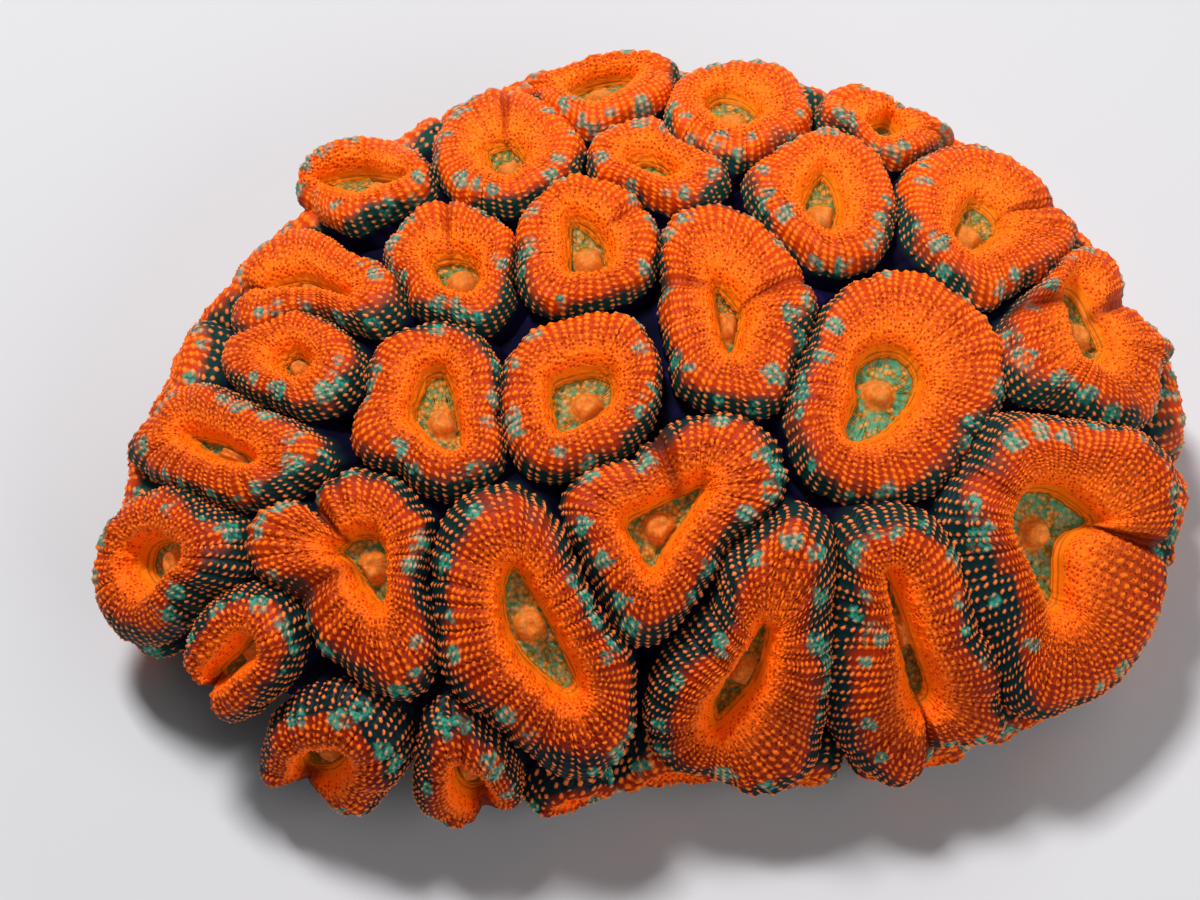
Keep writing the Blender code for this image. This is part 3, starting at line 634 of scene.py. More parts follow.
def flesh_loops(seat, outward, edge, disc, mouth, creases, broad_walls, dice):
    """The twelve loops of a polyp's skin, deepest first, with its lobes and creases."""
    count = len(edge)
    lobes = lobes_round(edge, dice)
    fold = (1 - lobes[:, None]) * LOBE_DEPTH * dice.uniform(0.5, 1.1)
    width = np.linalg.norm(disc - edge, axis=1, keepdims=True)
    inward = (disc - edge) / np.maximum(width, 1e-6)
    turned_back = np.clip(outward @ VIEW_UP / math.sin(STEEPEST_POLYP), 0, 1)
    fullness = 1 - LOW_BACK_SHARE * turned_back
    broad = marks_round(edge, broad_walls)
    crest_inset = np.minimum(CREST_INSET, CREST_SHARE * width)
    shoulder_inset = np.minimum(SHOULDER_INSET, 0.3 * crest_inset) + BROAD_SHOULDER * broad
    crest_inset = np.minimum(crest_inset + BROAD_CREST * broad, INNERMOST_CREST * width)
    slope_inset = np.maximum(crest_inset + SLOPE_SHARE * (width - crest_inset),
                             width - SMOOTH_BAND)
    crease = marks_round(edge, creases)
    edge = edge + inward * (fold + 0.5 * crease)
    crest_wave = swell(count, dice, CREST_SWELL) - fold - crease
    slope_wave = swell(count, dice, SLOPE_SWELL) - 0.5 * fold - 0.7 * crease
    widest = edge + outward * WIDEST_HEIGHT
    to_mouth = mouth - disc
    mouth_gap = np.linalg.norm(to_mouth, axis=1, keepdims=True)
    cone_radius = min(CONE_RADIUS, 0.70 * np.median(mouth_gap))
    cone_foot = np.minimum(cone_radius, 0.8 * mouth_gap) / np.maximum(mouth_gap, 1e-6)

    def from_mouth(share, height):
        return mouth - to_mouth * share + outward * (height * fullness)

    deep = np.repeat(dome_point(seat[None, :], DEEP_LEVEL), count, axis=0)
    loops = np.stack([
        deep,
        dome_point(widest, ROOT_LEVEL),
        dome_point(widest, GROOVE_LEVEL) * 0.75 + widest * 0.25,
        widest,
        edge + inward * shoulder_inset + outward * (SHOULDER_HEIGHT * fullness + 0.5 * crest_wave),
        edge + inward * crest_inset + outward * (CREST_HEIGHT * fullness + crest_wave),
        edge + inward * slope_inset + outward * (SLOPE_HEIGHT * fullness + slope_wave),
        disc + outward * DISC_RIM_HEIGHT * fullness,
        from_mouth(np.maximum(0.84, (1 + cone_foot) / 2), DISC_FLOOR_HEIGHT),
        from_mouth(cone_foot, DISC_FLOOR_HEIGHT * 0.93),
        from_mouth(cone_foot * 0.55, CONE_HEIGHT),
        from_mouth(0.0, MOUTH_HEIGHT)])
    face = loops[RIM:]
    sunk = dome_level(face) < DISC_LEVEL
    loops[RIM:] = np.where(sunk[..., None], dome_point(face, DISC_LEVEL), face)
    loops[:, :, 2] = np.maximum(loops[:, :, 2], LOWEST_FLESH)
    return loops, lobes, np.clip(crease[:, 0] / DEEP_CREASE, 0, 1)


print("a crest stands", 1000 * CREST_HEIGHT, "mm over the dome and", 1000 * CREST_INSET,
      "mm in from the outline")

# %% [markdown]
# Beads in straight radial rows cover the wall and the crest. They could be thousands of small
# balls, but real ones are swellings of the same skin, and a loose ball shows its seam. So the
# skin gets three columns of points for each row and three for each bead, and the middle point
# of nine is pushed out along the surface. A row that is shifted a little against the next one
# keeps the pattern from looking woven.

# %% Rows and beads
ROW_PITCH = 0.00095
BEAD_PITCH = 0.00062
BEAD_HEIGHT = 0.00034
FLATTER_BACK = 0.35
ROW_WIDTH = 0.70
BEAD_LENGTH = 0.80
BEAD_START = 2.35
BEAD_END = 6.15
DISC_STEPS = 26
ROW_SHIFT = 0.12
ROW_WAVER = 0.16
BEAD_SHIFT = 1.5
BEAD_WAVER = 1.1
WAVER_STEP = 5


def skin_places(loops, dice, row_pitch, bead_pitch, disc_steps):
    """Where the skin's points lie: round the polyp as shares, and along it as loop numbers."""
    shoulder = loops[SHOULDER]
    closed = np.concatenate([shoulder, shoulder[:1]])
    length = np.concatenate([[0], np.cumsum(np.linalg.norm(np.diff(closed, axis=0), axis=1))])
    rows = max(12, round(length[-1] / row_pitch))
    middle = (np.arange(rows) + 0.5 + dice.uniform(-ROW_SHIFT, ROW_SHIFT, rows)) / rows
    knob = np.array([-ROW_WIDTH, 0, ROW_WIDTH]) / 2 / rows
    around = (middle[:, None] + knob).ravel() * length[-1]
    shares = np.interp(around, length, np.linspace(0, 1, len(length)))

    fine = np.linspace(0, MOUTH, 12 * MOUTH + 1)
    every_eighth = np.arange(0, FINE_COUNT, 8)[:, None]
    section = section_points(loops, np.tile(fine, (len(every_eighth), 1)), every_eighth)
    steps = np.linalg.norm(np.diff(section, axis=1), axis=2).mean(axis=0)
    along = np.concatenate([[0], np.cumsum(steps)])
    start, end = np.interp([BEAD_START, BEAD_END], fine, along)
    beads = max(4, round((end - start) / bead_pitch))
    knob = 0.5 + np.array([-BEAD_LENGTH, 0, BEAD_LENGTH]) / 2
    steps = ((np.arange(beads)[:, None] + knob) / beads).ravel()
    bead_zone = np.interp(start + steps * (end - start), along, fine)
    disc_zone = np.interp(np.linspace(end, along[-1], disc_steps), along, fine)
    base = np.concatenate([[DEEP, ROOT, 0.5 * (ROOT + BEAD_START)], bead_zone, disc_zone])
    number = np.arange(len(base), dtype=float)
    free = np.clip((number - 3) / 6, 0, 1) * np.clip((3 * beads - number) / 9, 0, 1)
    shift = (dice.uniform(-BEAD_SHIFT, BEAD_SHIFT, (rows, 1))
             + BEAD_WAVER * waver(dice, rows, len(base)))
    places = number[None, :] + shift.repeat(3, axis=0) * free[None, :]
    aside = ROW_WAVER / rows * waver(dice, rows, len(base)).repeat(3, axis=0) * free[None, :]
    return shares[:, None] + aside, np.interp(places, number, base), rows, beads


def waver(dice, rows, count):
    """Smooth noise between -1 and 1 along each row, with a knot every few points."""
    knots = dice.uniform(-1, 1, (rows, count // WAVER_STEP + 3))
    place = np.arange(count) / WAVER_STEP
    index = place.astype(int)
    part = place - index
    part = part * part * (3 - 2 * part)
    return knots[:, index] * (1 - part) + knots[:, index + 1] * part


def section_points(loops, places, column):
    """Points on the smooth curve through the loops, at places along it, in the columns given."""
    first = np.concatenate([2 * loops[:1] - loops[1:2], loops, 2 * loops[-1:] - loops[-2:-1]])
    index = np.clip(np.floor(places).astype(int), 0, len(loops) - 2)
    weights = curve_weights(places - index)
    return sum(weights[..., step:step + 1] * first[index + step, column] for step in range(4))


print("bead rows every", 1000 * ROW_PITCH, "mm, beads every", 1000 * BEAD_PITCH, "mm")

# %% [markdown]
# Three more things are needed before the skin can be lifted: which way its surface faces, the
# lumpy granules of the disc, and where the turquoise spots lie. A spot sits on a lobe of the
# ring, on its outer side. It could be painted by a noise in space, but then it would run on
# from one polyp to the next, so each polyp throws its own dice for it.

# %% Facings, granules and turquoise spots
GRANULE_WIDTH = 0.0008
SPOT_SHARE = 0.8
SPOT_RADII = (0.0008, 0.0016)
SPOT_STATIONS = (3.5, 4.7)


def surface_normals(grid):
    """The way the skin faces at each point of its grid."""
    around = np.roll(grid, -1, axis=0) - np.roll(grid, 1, axis=0)
    along = np.gradient(grid, axis=1)
    normals = np.cross(around, along)
    size = np.linalg.norm(normals, axis=2, keepdims=True)
    return normals / np.maximum(size, 1e-12)


def granules(points, dice):
    """A lumpy pattern in space, between about -1 and 1: nine waves that cross at random."""
    ways = dice.normal(0, 1, (9, 3))
    ways *= 2 * math.pi / GRANULE_WIDTH / np.linalg.norm(ways, axis=1, keepdims=True)
    return sum(np.sin(points @ way + dice.uniform(0, 6.28)) for way in ways) / 3


def spots_on(grid, places, exact, lobes, dice):
    """One in the middle of each turquoise spot, falling to nought round it."""
    spots = np.zeros(places.shape)
    tops = np.flatnonzero((lobes > np.roll(lobes, 1)) & (lobes >= np.roll(lobes, -1)))
    for top in tops:
        station = dice.uniform(*SPOT_STATIONS)
        radius = dice.uniform(*SPOT_RADII)
        if dice.uniform() > SPOT_SHARE:
            continue
        column = np.abs(exact[:, 0] - top).argmin()
        row = np.abs(places[column] - station).argmin()
        gap = np.linalg.norm(grid - grid[column, row], axis=2)
        spots = np.maximum(spots, np.clip(1.3 - gap / radius, 0, 1))
    return spots


print("spots are", 2000 * SPOT_RADII[0], "to", 2000 * SPOT_RADII[1], "mm across")

# %% [markdown]
# Now the skin is lifted along its own facing. Each middle point of nine rises as a bead, the rim
# of the disc gets fine folds that run round it, and the disc gets its granules. A Displace
# modifier could do one of these, but not all three with their own limits. What each point is,
# such as bead, spot, hollow or station along the section, is kept for the colours.

# %% The lifted skin
FOLD_HEIGHT = 0.00015
GRANULE_HEIGHT = 0.00013
ROW_PROFILE = [0.45, 1.0, 0.45]
ROW_SHADES = [0.08, 1.0, 0.08]
BETWEEN_BEADS = [0.35, 0.25, 0.10]
GAP_HEIGHT = 0.30
BEAD_SIZES = (0.7, 1.25)
HOLLOW_SHARE = 0.8


def beaded_skin(loops, lobes, creased, outward, dice, row_pitch, bead_pitch, disc_steps):
    """The points of the skin, and how much bead, spot, hollow and station each one has."""
    shares, places, rows, beads = skin_places(loops, dice, row_pitch, bead_pitch, disc_steps)
    count = loops.shape[1]
    exact = shares * count
    index = np.floor(exact).astype(int)
    part = (exact - index)[..., None]
    grid = (section_points(loops, places, index % count) * (1 - part)
            + section_points(loops, places, (index + 1) % count) * part)
    normals = surface_normals(grid)
    if (normals * outward).sum(axis=2)[:, places.shape[1] // 2].mean() < 0:
        normals = -normals

    row_part = np.tile(ROW_PROFILE, rows)[:, None]
    row_shade = np.tile(ROW_SHADES, rows)[:, None]
    on_centre = np.zeros(places.shape[1], bool)
    on_centre[4:3 + 3 * beads:3] = True
    between = np.interp(places, [WIDEST, SHOULDER, CREST], BETWEEN_BEADS)
    bead_part = np.where(on_centre, 1.0, GAP_HEIGHT + between)
    bead_shade = np.where(on_centre, 1.0, between)
    size = dice.uniform(*BEAD_SIZES, (rows, places.shape[1])).repeat(3, axis=0)
    rise = np.clip((places - BEAD_START) / 0.6, 0, 1)
    fall = np.clip((RIM - 0.1 - places) / 1.1, 0, 1)
    on_ring = np.clip(places - 2.6, 0, 1) * np.clip((RIM + 0.6 - places) / 0.8, 0, 1)
    # hollow marks the creases: their beads are lower, and their colour later gets painted shade
    hollow = creased[index % count] * on_ring
    bead = row_part * bead_part * rise * fall * (1 - HOLLOW_SHARE * hollow)
    # shade is kept for the colours: it paints the gaps between beads dark and each bead's top
    # bright, painted shade and light on top of the beads' own paler colour
    shade = row_shade * bead_shade * rise * fall * (1 - HOLLOW_SHARE * hollow)
    folds = np.clip(1 - np.abs(places - 7.0) / 0.8, 0, 1)
    turn = np.linspace(0, 2 * math.pi, len(grid))[:, None]
    drift = 0.35 * np.sin(5 * turn + dice.uniform(0, 6)) + 0.2 * np.sin(13 * turn)
    fold_lift = FOLD_HEIGHT * folds * np.sin(2 * math.pi * (places * 2.9 + drift))
    on_disc = np.clip((places - RIM) / 0.6, 0, 1) * np.clip((CONE_FOOT - places) / 0.5, 0, 1)
    crumple = GRANULE_HEIGHT * on_disc * granules(grid, dice)
    turned_back = np.clip(outward @ VIEW_UP / math.sin(STEEPEST_POLYP), 0, 1)
    bead_height = BEAD_HEIGHT * (1 - FLATTER_BACK * turned_back)
    lift = bead_height * bead * size + fold_lift + crumple
    lift[:, -1] = 0
    lift[:, 0] = 0
    grid = grid + normals * lift[..., None]
    grid[..., 2] = np.maximum(grid[..., 2], LOWEST_FLESH * 0.7)
    spots = spots_on(grid, places, exact, lobes, dice)
    return grid, {"bead": shade * size, "spot": spots, "hollow": hollow,
                  "station": places / MOUTH}


print("a bead stands", 1000 * BEAD_HEIGHT, "mm off the skin")

# %% [markdown]
# Each polyp starts as a flat grid primitive with as many columns and rows as its skin needs,
# because a grid comes with clean quads and a UV map. Its points are then wrapped into place,
# the two sides that meet are merged, and the far ends close to a point. The UV map stays a
# plain square: across it is the way round the polyp, and up it is the way from groove to mouth.
# What the skin knows about each point is stored on the mesh as attributes, for the colours.
# The polyps of the far side get wider rows, which keeps the coral under a million triangles.

# %% From a grid to a polyp
SEEN_SEED = 100
HIDDEN_SEED = 300
MERGE_GAP = 0.000004
FAR_ROW_PITCH = ROW_PITCH * 1.2
FAR_BEAD_PITCH = BEAD_PITCH * 1.3
FAR_DISC_STEPS = DISC_STEPS - 8
# How far each disc is stained turquoise, and how far it is painted with dark red shade
PLAIN_DISC = (0.2, 0.0)
DISC_LOOKS = {"largest_round": (0.8, 0.0), "right_large": (0.6, 0.0), "left_long": (0.6, 0.3),
              "front_long": (0.4, 0.0), "middle_square": (0.4, 0.0), "left_lobed": (0.4, 0.1),
              "front_heart": (0.2, 0.0), "front_middle": (0.0, 0.5), "front_right": (0.0, 0.6),
              "long_summit": (0.1, 0.3), "left_wide": (0.0, 0.4), "right_curled": (0.1, 0.3),
              "lower_left": (0.0, 0.6), "bottom_left": (0.0, 0.7), "bottom": (0.0, 0.7)}


def add_polyp(name, laid_loops, seed, row_pitch, bead_pitch, disc_steps):
    """A finished polyp from its laid loops: its skin, its stored values and its closed seams."""
    dice = np.random.default_rng(seed)
    loops, lobes, creased = flesh_loops(*laid_loops, dice)
    outward = laid_loops[1]
    grid, notes = beaded_skin(loops, lobes, creased, outward, dice, row_pitch, bead_pitch,
                              disc_steps)
    grid = np.concatenate([grid, grid[:1]])
    columns, rows = grid.shape[:2]

    bpy.ops.object.select_all(action="DESELECT")
    bpy.ops.mesh.primitive_grid_add(x_subdivisions=columns - 1, y_subdivisions=rows - 1, size=1)
    polyp = bpy.context.object
    polyp.name = name
    mesh = polyp.data
    mesh.name = name
    mesh.uv_layers[0].name = "OFBake"
    in_order = grid.transpose(1, 0, 2).reshape(-1, 3)
    mesh.vertices.foreach_set("co", in_order.astype(np.float32).ravel())
    for label, values in notes.items():
        values = np.concatenate([values, values[:1]])
        layer = mesh.attributes.new(label, "FLOAT", "POINT")
        layer.data.foreach_set("value", values.T.astype(np.float32).ravel())
    looks = DISC_LOOKS.get(name.removeprefix("polyp_"), PLAIN_DISC)
    # The second share is painted shade: how far the disc is darkened as if it lay in shadow
    for label, share in zip(("disc_teal", "disc_shade"), looks):
        layer = mesh.attributes.new(label, "FLOAT", "POINT")
        layer.data.foreach_set("value", np.full(len(mesh.vertices), share, np.float32))

    bpy.ops.object.mode_set(mode="EDIT")
    bpy.ops.mesh.select_all(action="SELECT")
    bpy.ops.mesh.remove_doubles(threshold=MERGE_GAP)
    bpy.ops.mesh.normals_make_consistent(inside=False)
    bpy.ops.object.mode_set(mode="OBJECT")
    bpy.ops.object.shade_smooth()
    return polyp


polyps = []
for number, (name, loops) in enumerate(SEEN_POLYPS.items()):
    laid = seen_loops(*loops, CREASES.get(name, []), BROAD_WALLS.get(name, []))
    polyps.append(add_polyp("polyp_" + name, laid, SEEN_SEED + number,
                            ROW_PITCH, BEAD_PITCH, DISC_STEPS))
for number, (name, place) in enumerate(HIDDEN_POLYPS.items()):
    polyps.append(add_polyp("polyp_" + name, hidden_loops(*place), HIDDEN_SEED + number,
                            FAR_ROW_PITCH, FAR_BEAD_PITCH, FAR_DISC_STEPS))
for polyp in polyps:
    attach(polyp, "root")
    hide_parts("coral_colony")
triangles = [2 * len(polyp.data.polygons) for polyp in polyps]
print(len(polyps), "polyps,", sum(triangles), "triangles, largest", max(triangles))

# %% [markdown]
# Between the polyps lies a smooth dark tissue, and under the rim the bare skeleton shows down
# to the cut. Both are the dome itself, a little deeper, so both start as a ball primitive that
# is pushed on to the dome and cut level. The skeleton gets upright ribs, as the outside of a
# stony coral has. They could come from bump alone, but the rim shows them in outline.

# %% Groove tissue and skeleton foot
CORE_LEVEL = 0.87
FOOT_LEVEL = CORE_LEVEL - 0.004
BALL_RADIUS = 0.02
BALL_SQUASH = np.array([1, 1, 0.75])
RIB_COUNT = 150
RIB_HEIGHT = 0.00022
TISSUE_EDGE = 0.0035
FOOT_TOP = TISSUE_EDGE + 0.0012
SHARP_ANGLE = math.radians(50)
CUT_GAP = 0.000001


def dome_shell(name, level, segments, rings):
    """A ball primitive pushed on to the dome at a level."""
    bpy.ops.object.select_all(action="DESELECT")
    bpy.ops.mesh.primitive_uv_sphere_add(segments=segments, ring_count=rings,
                                         radius=BALL_RADIUS)
    shell = bpy.context.object
    shell.name = name
    shell.data.name = name
    points = np.empty(3 * len(shell.data.vertices), np.float32)
    shell.data.vertices.foreach_get("co", points)
    points = points.reshape(-1, 3) * BALL_SQUASH + [0, 0, RIM_HEIGHT]
    points = dome_point(points, level)
    shell.data.vertices.foreach_set("co", points.astype(np.float32).ravel())
    return shell


def cut_at(shell, height, keep_above):
    """Cuts a shell level at a height, keeps one side and fills the cut."""
    bpy.context.view_layer.objects.active = shell
    bpy.ops.object.mode_set(mode="EDIT")
    bpy.ops.mesh.select_all(action="SELECT")
    bpy.ops.mesh.bisect(plane_co=(0, 0, height), plane_no=(0, 0, 1), use_fill=True,
                        clear_inner=keep_above, clear_outer=not keep_above,
                        threshold=CUT_GAP)
    bpy.ops.mesh.select_all(action="SELECT")
    bpy.ops.mesh.normals_make_consistent(inside=False)
    bpy.ops.object.mode_set(mode="OBJECT")


tissue = dome_shell("groove_tissue", CORE_LEVEL, 120, 64)
cut_at(tissue, TISSUE_EDGE, True)
foot = dome_shell("skeleton_foot", FOOT_LEVEL, 6 * RIB_COUNT, 60)
for vert in foot.data.vertices:
    angle = math.atan2(vert.co.y, vert.co.x)
    rib = RIB_HEIGHT * (math.cos(RIB_COUNT * angle) + 0.4 * math.cos(RIB_COUNT * angle / 2))
    outward = Vector((math.cos(angle), math.sin(angle), 0))
    vert.co += outward * rib
cut_at(foot, 0.0, True)
cut_at(foot, FOOT_TOP, False)
for piece in (tissue, foot):
    piece.data.shade_smooth()
    piece.data.set_sharp_from_angle(angle=SHARP_ANGLE)
    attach(piece, "root")
    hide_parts("coral_colony")
    print(piece.name, len(piece.data.polygons), "faces")

# %% [markdown]
# Every finish below is built from nodes, with no picture. The same few steps come again and
# again, such as mixing two colours or reading a ramp, so each gets a short function. The node
# tree stays as a maker would wire it by hand, and can be opened in the shader editor.

# %% Helpers for materials
def new_material(name):
    """A new material, its node tree and its Principled surface."""
    material = bpy.data.materials.new(name)
    material.use_nodes = True
    return material, material.node_tree, material.node_tree.nodes["Principled BSDF"]


def mixed(tree, factor, first, second):
    """A colour mixed from two: each is a socket or a colour."""
    node = tree.nodes.new("ShaderNodeMix")
    node.data_type = "RGBA"
    for value, socket in ((factor, node.inputs[0]), (first, node.inputs[6]),
                          (second, node.inputs[7])):
        if isinstance(value, bpy.types.NodeSocket):
            tree.links.new(value, socket)
        else:
            socket.default_value = value
    return node.outputs[2]


def shaded(tree, factor, colour, shade):
    """A colour multiplied by a shade, as far as the factor says."""
    result = mixed(tree, factor, colour, shade)
    result.node.blend_type = "MULTIPLY"
    return result


def sum_of(tree, kind, first, second):
    """The result of a Math node: each input is a socket or a number."""
    node = tree.nodes.new("ShaderNodeMath")
    node.operation = kind
    for value, socket in ((first, node.inputs[0]), (second, node.inputs[1])):
        if isinstance(value, bpy.types.NodeSocket):
            tree.links.new(value, socket)
        else:
            socket.default_value = value
    return node.outputs[0]


def band(tree, value, low, high, soft_low, soft_high):
    """One between low and high, falling to nought over the soft widths outside them."""
    ramp = tree.nodes.new("ShaderNodeValToRGB")
    ramp.color_ramp.interpolation = "EASE"
    stops = [(low - soft_low, 0.0), (low, 1.0), (high, 1.0), (high + soft_high, 0.0)]
    while len(ramp.color_ramp.elements) < len(stops):
        ramp.color_ramp.elements.new(0.5)
    for element, (place, level) in zip(ramp.color_ramp.elements, stops):
        element.position = place
        element.color = (level, level, level, 1)
    tree.links.new(value, ramp.inputs[0])
    return ramp.outputs[0]


def steps_of(tree, value, stops):
    """A colour ramp with the stops given, each a place and a colour."""
    ramp = tree.nodes.new("ShaderNodeValToRGB")
    while len(ramp.color_ramp.elements) < len(stops):
        ramp.color_ramp.elements.new(0.5)
    for element, (place, colour) in zip(ramp.color_ramp.elements, stops):
        element.position = place
        element.color = colour
    tree.links.new(value, ramp.inputs[0])
    return ramp.outputs[0]


def texture(tree, kind, scale, place, **sockets):
    """A procedural texture; its scale counts repeats to the metre."""
    node = tree.nodes.new(kind)
    node.inputs["Scale"].default_value = scale
    for label, value in sockets.items():
        node.inputs[label].default_value = value
    tree.links.new(place, node.inputs["Vector"])
    return node


def stored(tree, label):
    """A value that was stored on the mesh while it was made."""
    node = tree.nodes.new("ShaderNodeAttribute")
    node.attribute_name = label
    return node.outputs["Fac"]


def bump(tree, height, strength, distance, under=None):
    """Fine relief from a height, on top of any relief under it."""
    node = tree.nodes.new("ShaderNodeBump")
    node.inputs["Strength"].default_value = strength
    node.inputs["Distance"].default_value = distance
    tree.links.new(height, node.inputs["Height"])
    if under is not None:
        tree.links.new(under, node.inputs["Normal"])
    return node.outputs["Normal"]


def told(step, tree):
    """Prints how many nodes the tree has after a step."""
    print(step + ":", len(tree.nodes), "nodes so far")


print("material helpers are ready")

# %% [markdown]
# The colours follow the flesh. A number called station says how far along the section a point
# lies, from nought deep in the groove to one at the mouth, and was stored on the mesh while it
# was made. So one ramp can make the wall dark green and the crest red, and a second one the
# inner slope orange, the folded rim yellow and the disc olive. A broad noise shifts the first
# ramp, or the change from green to red would be a straight line round each polyp.

# %% Skin, first step: from groove to mouth
GROOVE_INDIGO = (0.003, 0.002, 0.014, 1)
DEEP_TEAL = (0.002, 0.018, 0.022, 1)
WALL_GREEN = (0.007, 0.045, 0.036, 1)
CREST_RED = (0.60, 0.048, 0.001, 1)
SLOPE_ORANGE = (0.98, 0.150, 0.003, 1)
RIM_YELLOW = (0.80, 0.18, 0.004, 1)
RIM_OLIVE = (0.20, 0.090, 0.006, 1)
DISC_OLIVE = (0.16, 0.105, 0.010, 1)
CONE_ORANGE = (0.74, 0.18, 0.022, 1)
CONE_RING = (0.60, 0.145, 0.014, 1)
BLACK = (0, 0, 0, 1)
WHITE = (1, 1, 1, 1)
CLOUD_SWING = 0.36
BACK_SWING = 0.085
FRONT_EDGE = -0.045
FRONT_END = 0.020

skin, tree, surface = new_material("polyp_skin")
place = tree.nodes.new("ShaderNodeTexCoord").outputs["Object"]
station = stored(tree, "station")
cloud = texture(tree, "ShaderNodeTexNoise", 170, place, Detail=2.0)
depth = tree.nodes.new("ShaderNodeSeparateXYZ")
tree.links.new(place, depth.inputs[0])
from_front = tree.nodes.new("ShaderNodeMapRange")
tree.links.new(depth.outputs["Y"], from_front.inputs["Value"])
from_front.inputs["From Min"].default_value = FRONT_EDGE
from_front.inputs["From Max"].default_value = FRONT_END
cloud_shift = sum_of(tree, "MULTIPLY_ADD", cloud.outputs["Fac"], CLOUD_SWING)
cloud_shift.node.inputs[2].default_value = -CLOUD_SWING / 2
back_shift = sum_of(tree, "MULTIPLY", from_front.outputs["Result"], BACK_SWING)
shift = sum_of(tree, "ADD", cloud_shift, back_shift)
shifted = sum_of(tree, "ADD", station, shift)
wall = steps_of(tree, shifted, [
    (0.22, DEEP_TEAL), (0.31, WALL_GREEN), (0.375, WALL_GREEN), (0.43, CREST_RED)])
# The root of each polyp runs into the groove's near-black indigo, partly its own colour and partly
# painted shade
above_groove = steps_of(tree, station, [(0.20, BLACK), (0.27, WHITE)])
outside = mixed(tree, above_groove, GROOVE_INDIGO, wall)
inside = steps_of(tree, station, [
    (0.45, CREST_RED), (0.53, SLOPE_ORANGE), (0.58, SLOPE_ORANGE), (0.600, RIM_YELLOW),
    (0.622, RIM_YELLOW), (0.628, RIM_OLIVE), (0.634, RIM_YELLOW), (0.648, RIM_YELLOW),
    (0.654, RIM_OLIVE), (0.660, RIM_YELLOW), (0.675, RIM_OLIVE), (0.70, DISC_OLIVE),
    (0.79, DISC_OLIVE), (0.825, CONE_ORANGE), (0.845, CONE_RING), (0.865, CONE_ORANGE),
    (0.90, CONE_ORANGE), (0.915, CONE_RING), (0.935, CONE_ORANGE), (0.99, CONE_ORANGE),
    (1.0, RIM_OLIVE)])
inner_part = steps_of(tree, station, [(0.42, BLACK), (0.47, WHITE)])
along = mixed(tree, inner_part, outside, inside)
told("groove to mouth", tree)

# %% [markdown]
# The beads are paler than the skin between them, partly in their own colour and partly as painted
# shade: the gaps are painted dark, and each bead grades to a bright painted top. Another stored
# number, called bead, is one on the top of a bead and nearly nought beside it, so a ramp on it
# makes a mask. The front of the colony gets painted shade: it is made redder and darker between
# the beads, as if the flesh there lay in shadow, by a tint that fades from front to back and is
# multiplied in.

# %% Skin, second step: the beads and the painted shade
# Painted shade: the front of the colony is darkened and reddened in colour, as if it lay in shadow
PAINTED_FRONT_SHADE = (0.36, 0.26, 0.55, 1)
PAINTED_FRONT_TINT = (0.98, 0.80, 0.60, 1)
WALL_BEAD = (0.92, 0.235, 0.055, 1)
CREST_BEAD = (1.0, 0.205, 0.006, 1)
BEAD_CORE = (0.80, 0.090, 0.002, 1)
BEAD_WIDENING = 0.24

bead = stored(tree, "bead")
# Painted shade at the front, multiplied into the gaps between the beads
painted_front_shade = mixed(tree, from_front.outputs["Result"], PAINTED_FRONT_SHADE, WHITE)
ring_band = band(tree, station, 0.25, 0.50, 0.05, 0.05)
gaps_with_front_shade = shaded(tree, ring_band, along, painted_front_shade)
wall_band = band(tree, shifted, 0.0, 0.37, 0.0, 0.08)
bead_core = steps_of(tree, bead, [(0.80, BLACK), (1.0, (0.7, 0.7, 0.7, 1))])
crest_bead = mixed(tree, bead_core, CREST_BEAD, BEAD_CORE)
bead_colour = mixed(tree, wall_band, crest_bead, WALL_BEAD)
crest_part = steps_of(tree, shifted, [(0.38, BLACK), (0.46, WHITE)])
wider_bead = sum_of(tree, "MULTIPLY_ADD", crest_part, BEAD_WIDENING)
tree.links.new(bead, wider_bead.node.inputs[2])
# The beads' own paler colour and painted shade: dark in the gaps, grading to a bright top on each
# bead
bead_and_shade_mask = steps_of(tree, wider_bead, [(0.28, BLACK), (0.52, (0.7, 0.7, 0.7, 1)), (0.95, WHITE)])
# Painted shade at the front, a redder tint multiplied into the whole ring
painted_front_tint = mixed(tree, from_front.outputs["Result"], PAINTED_FRONT_TINT, WHITE)
beaded = shaded(tree, 1.0, mixed(tree, bead_and_shade_mask, gaps_with_front_shade, bead_colour), painted_front_tint)
told("beads", tree)

# %% [markdown]
# Turquoise patches lie on the outer side of the lobes. The mesh holds round spots, and a noise
# eats into their edges, which makes them ragged as real ones are. Inside a patch the colour is
# mottled, and the beads keep a pale mark of their own.

# %% Skin, third step: turquoise patches
DARK_TURQUOISE = (0.008, 0.085, 0.066, 1)
TURQUOISE = (0.040, 0.29, 0.19, 1)
TURQUOISE_BEAD = (0.50, 0.31, 0.19, 1)
SPOT_RAGGEDNESS = 4.4
SPOT_OFFSET = -1.35

spot = stored(tree, "spot")
ragged = texture(tree, "ShaderNodeTexNoise", 850, place, Detail=3.0)
spot_edge = sum_of(tree, "MULTIPLY_ADD", ragged.outputs["Fac"], SPOT_RAGGEDNESS)
spot_edge.node.inputs[2].default_value = SPOT_OFFSET
spot_size = sum_of(tree, "MULTIPLY", spot, spot_edge)
patch = steps_of(tree, spot_size, [(0.30, BLACK), (0.72, (0.9, 0.9, 0.9, 1))])
mottle = texture(tree, "ShaderNodeTexNoise", 2400, place, Detail=1.0)
mottled = steps_of(tree, mottle.outputs["Fac"], [(0.38, DARK_TURQUOISE), (0.60, TURQUOISE)])
turquoise = mixed(tree, bead_and_shade_mask, mottled, TURQUOISE_BEAD)
patched = mixed(tree, patch, beaded, turquoise)
told("turquoise", tree)

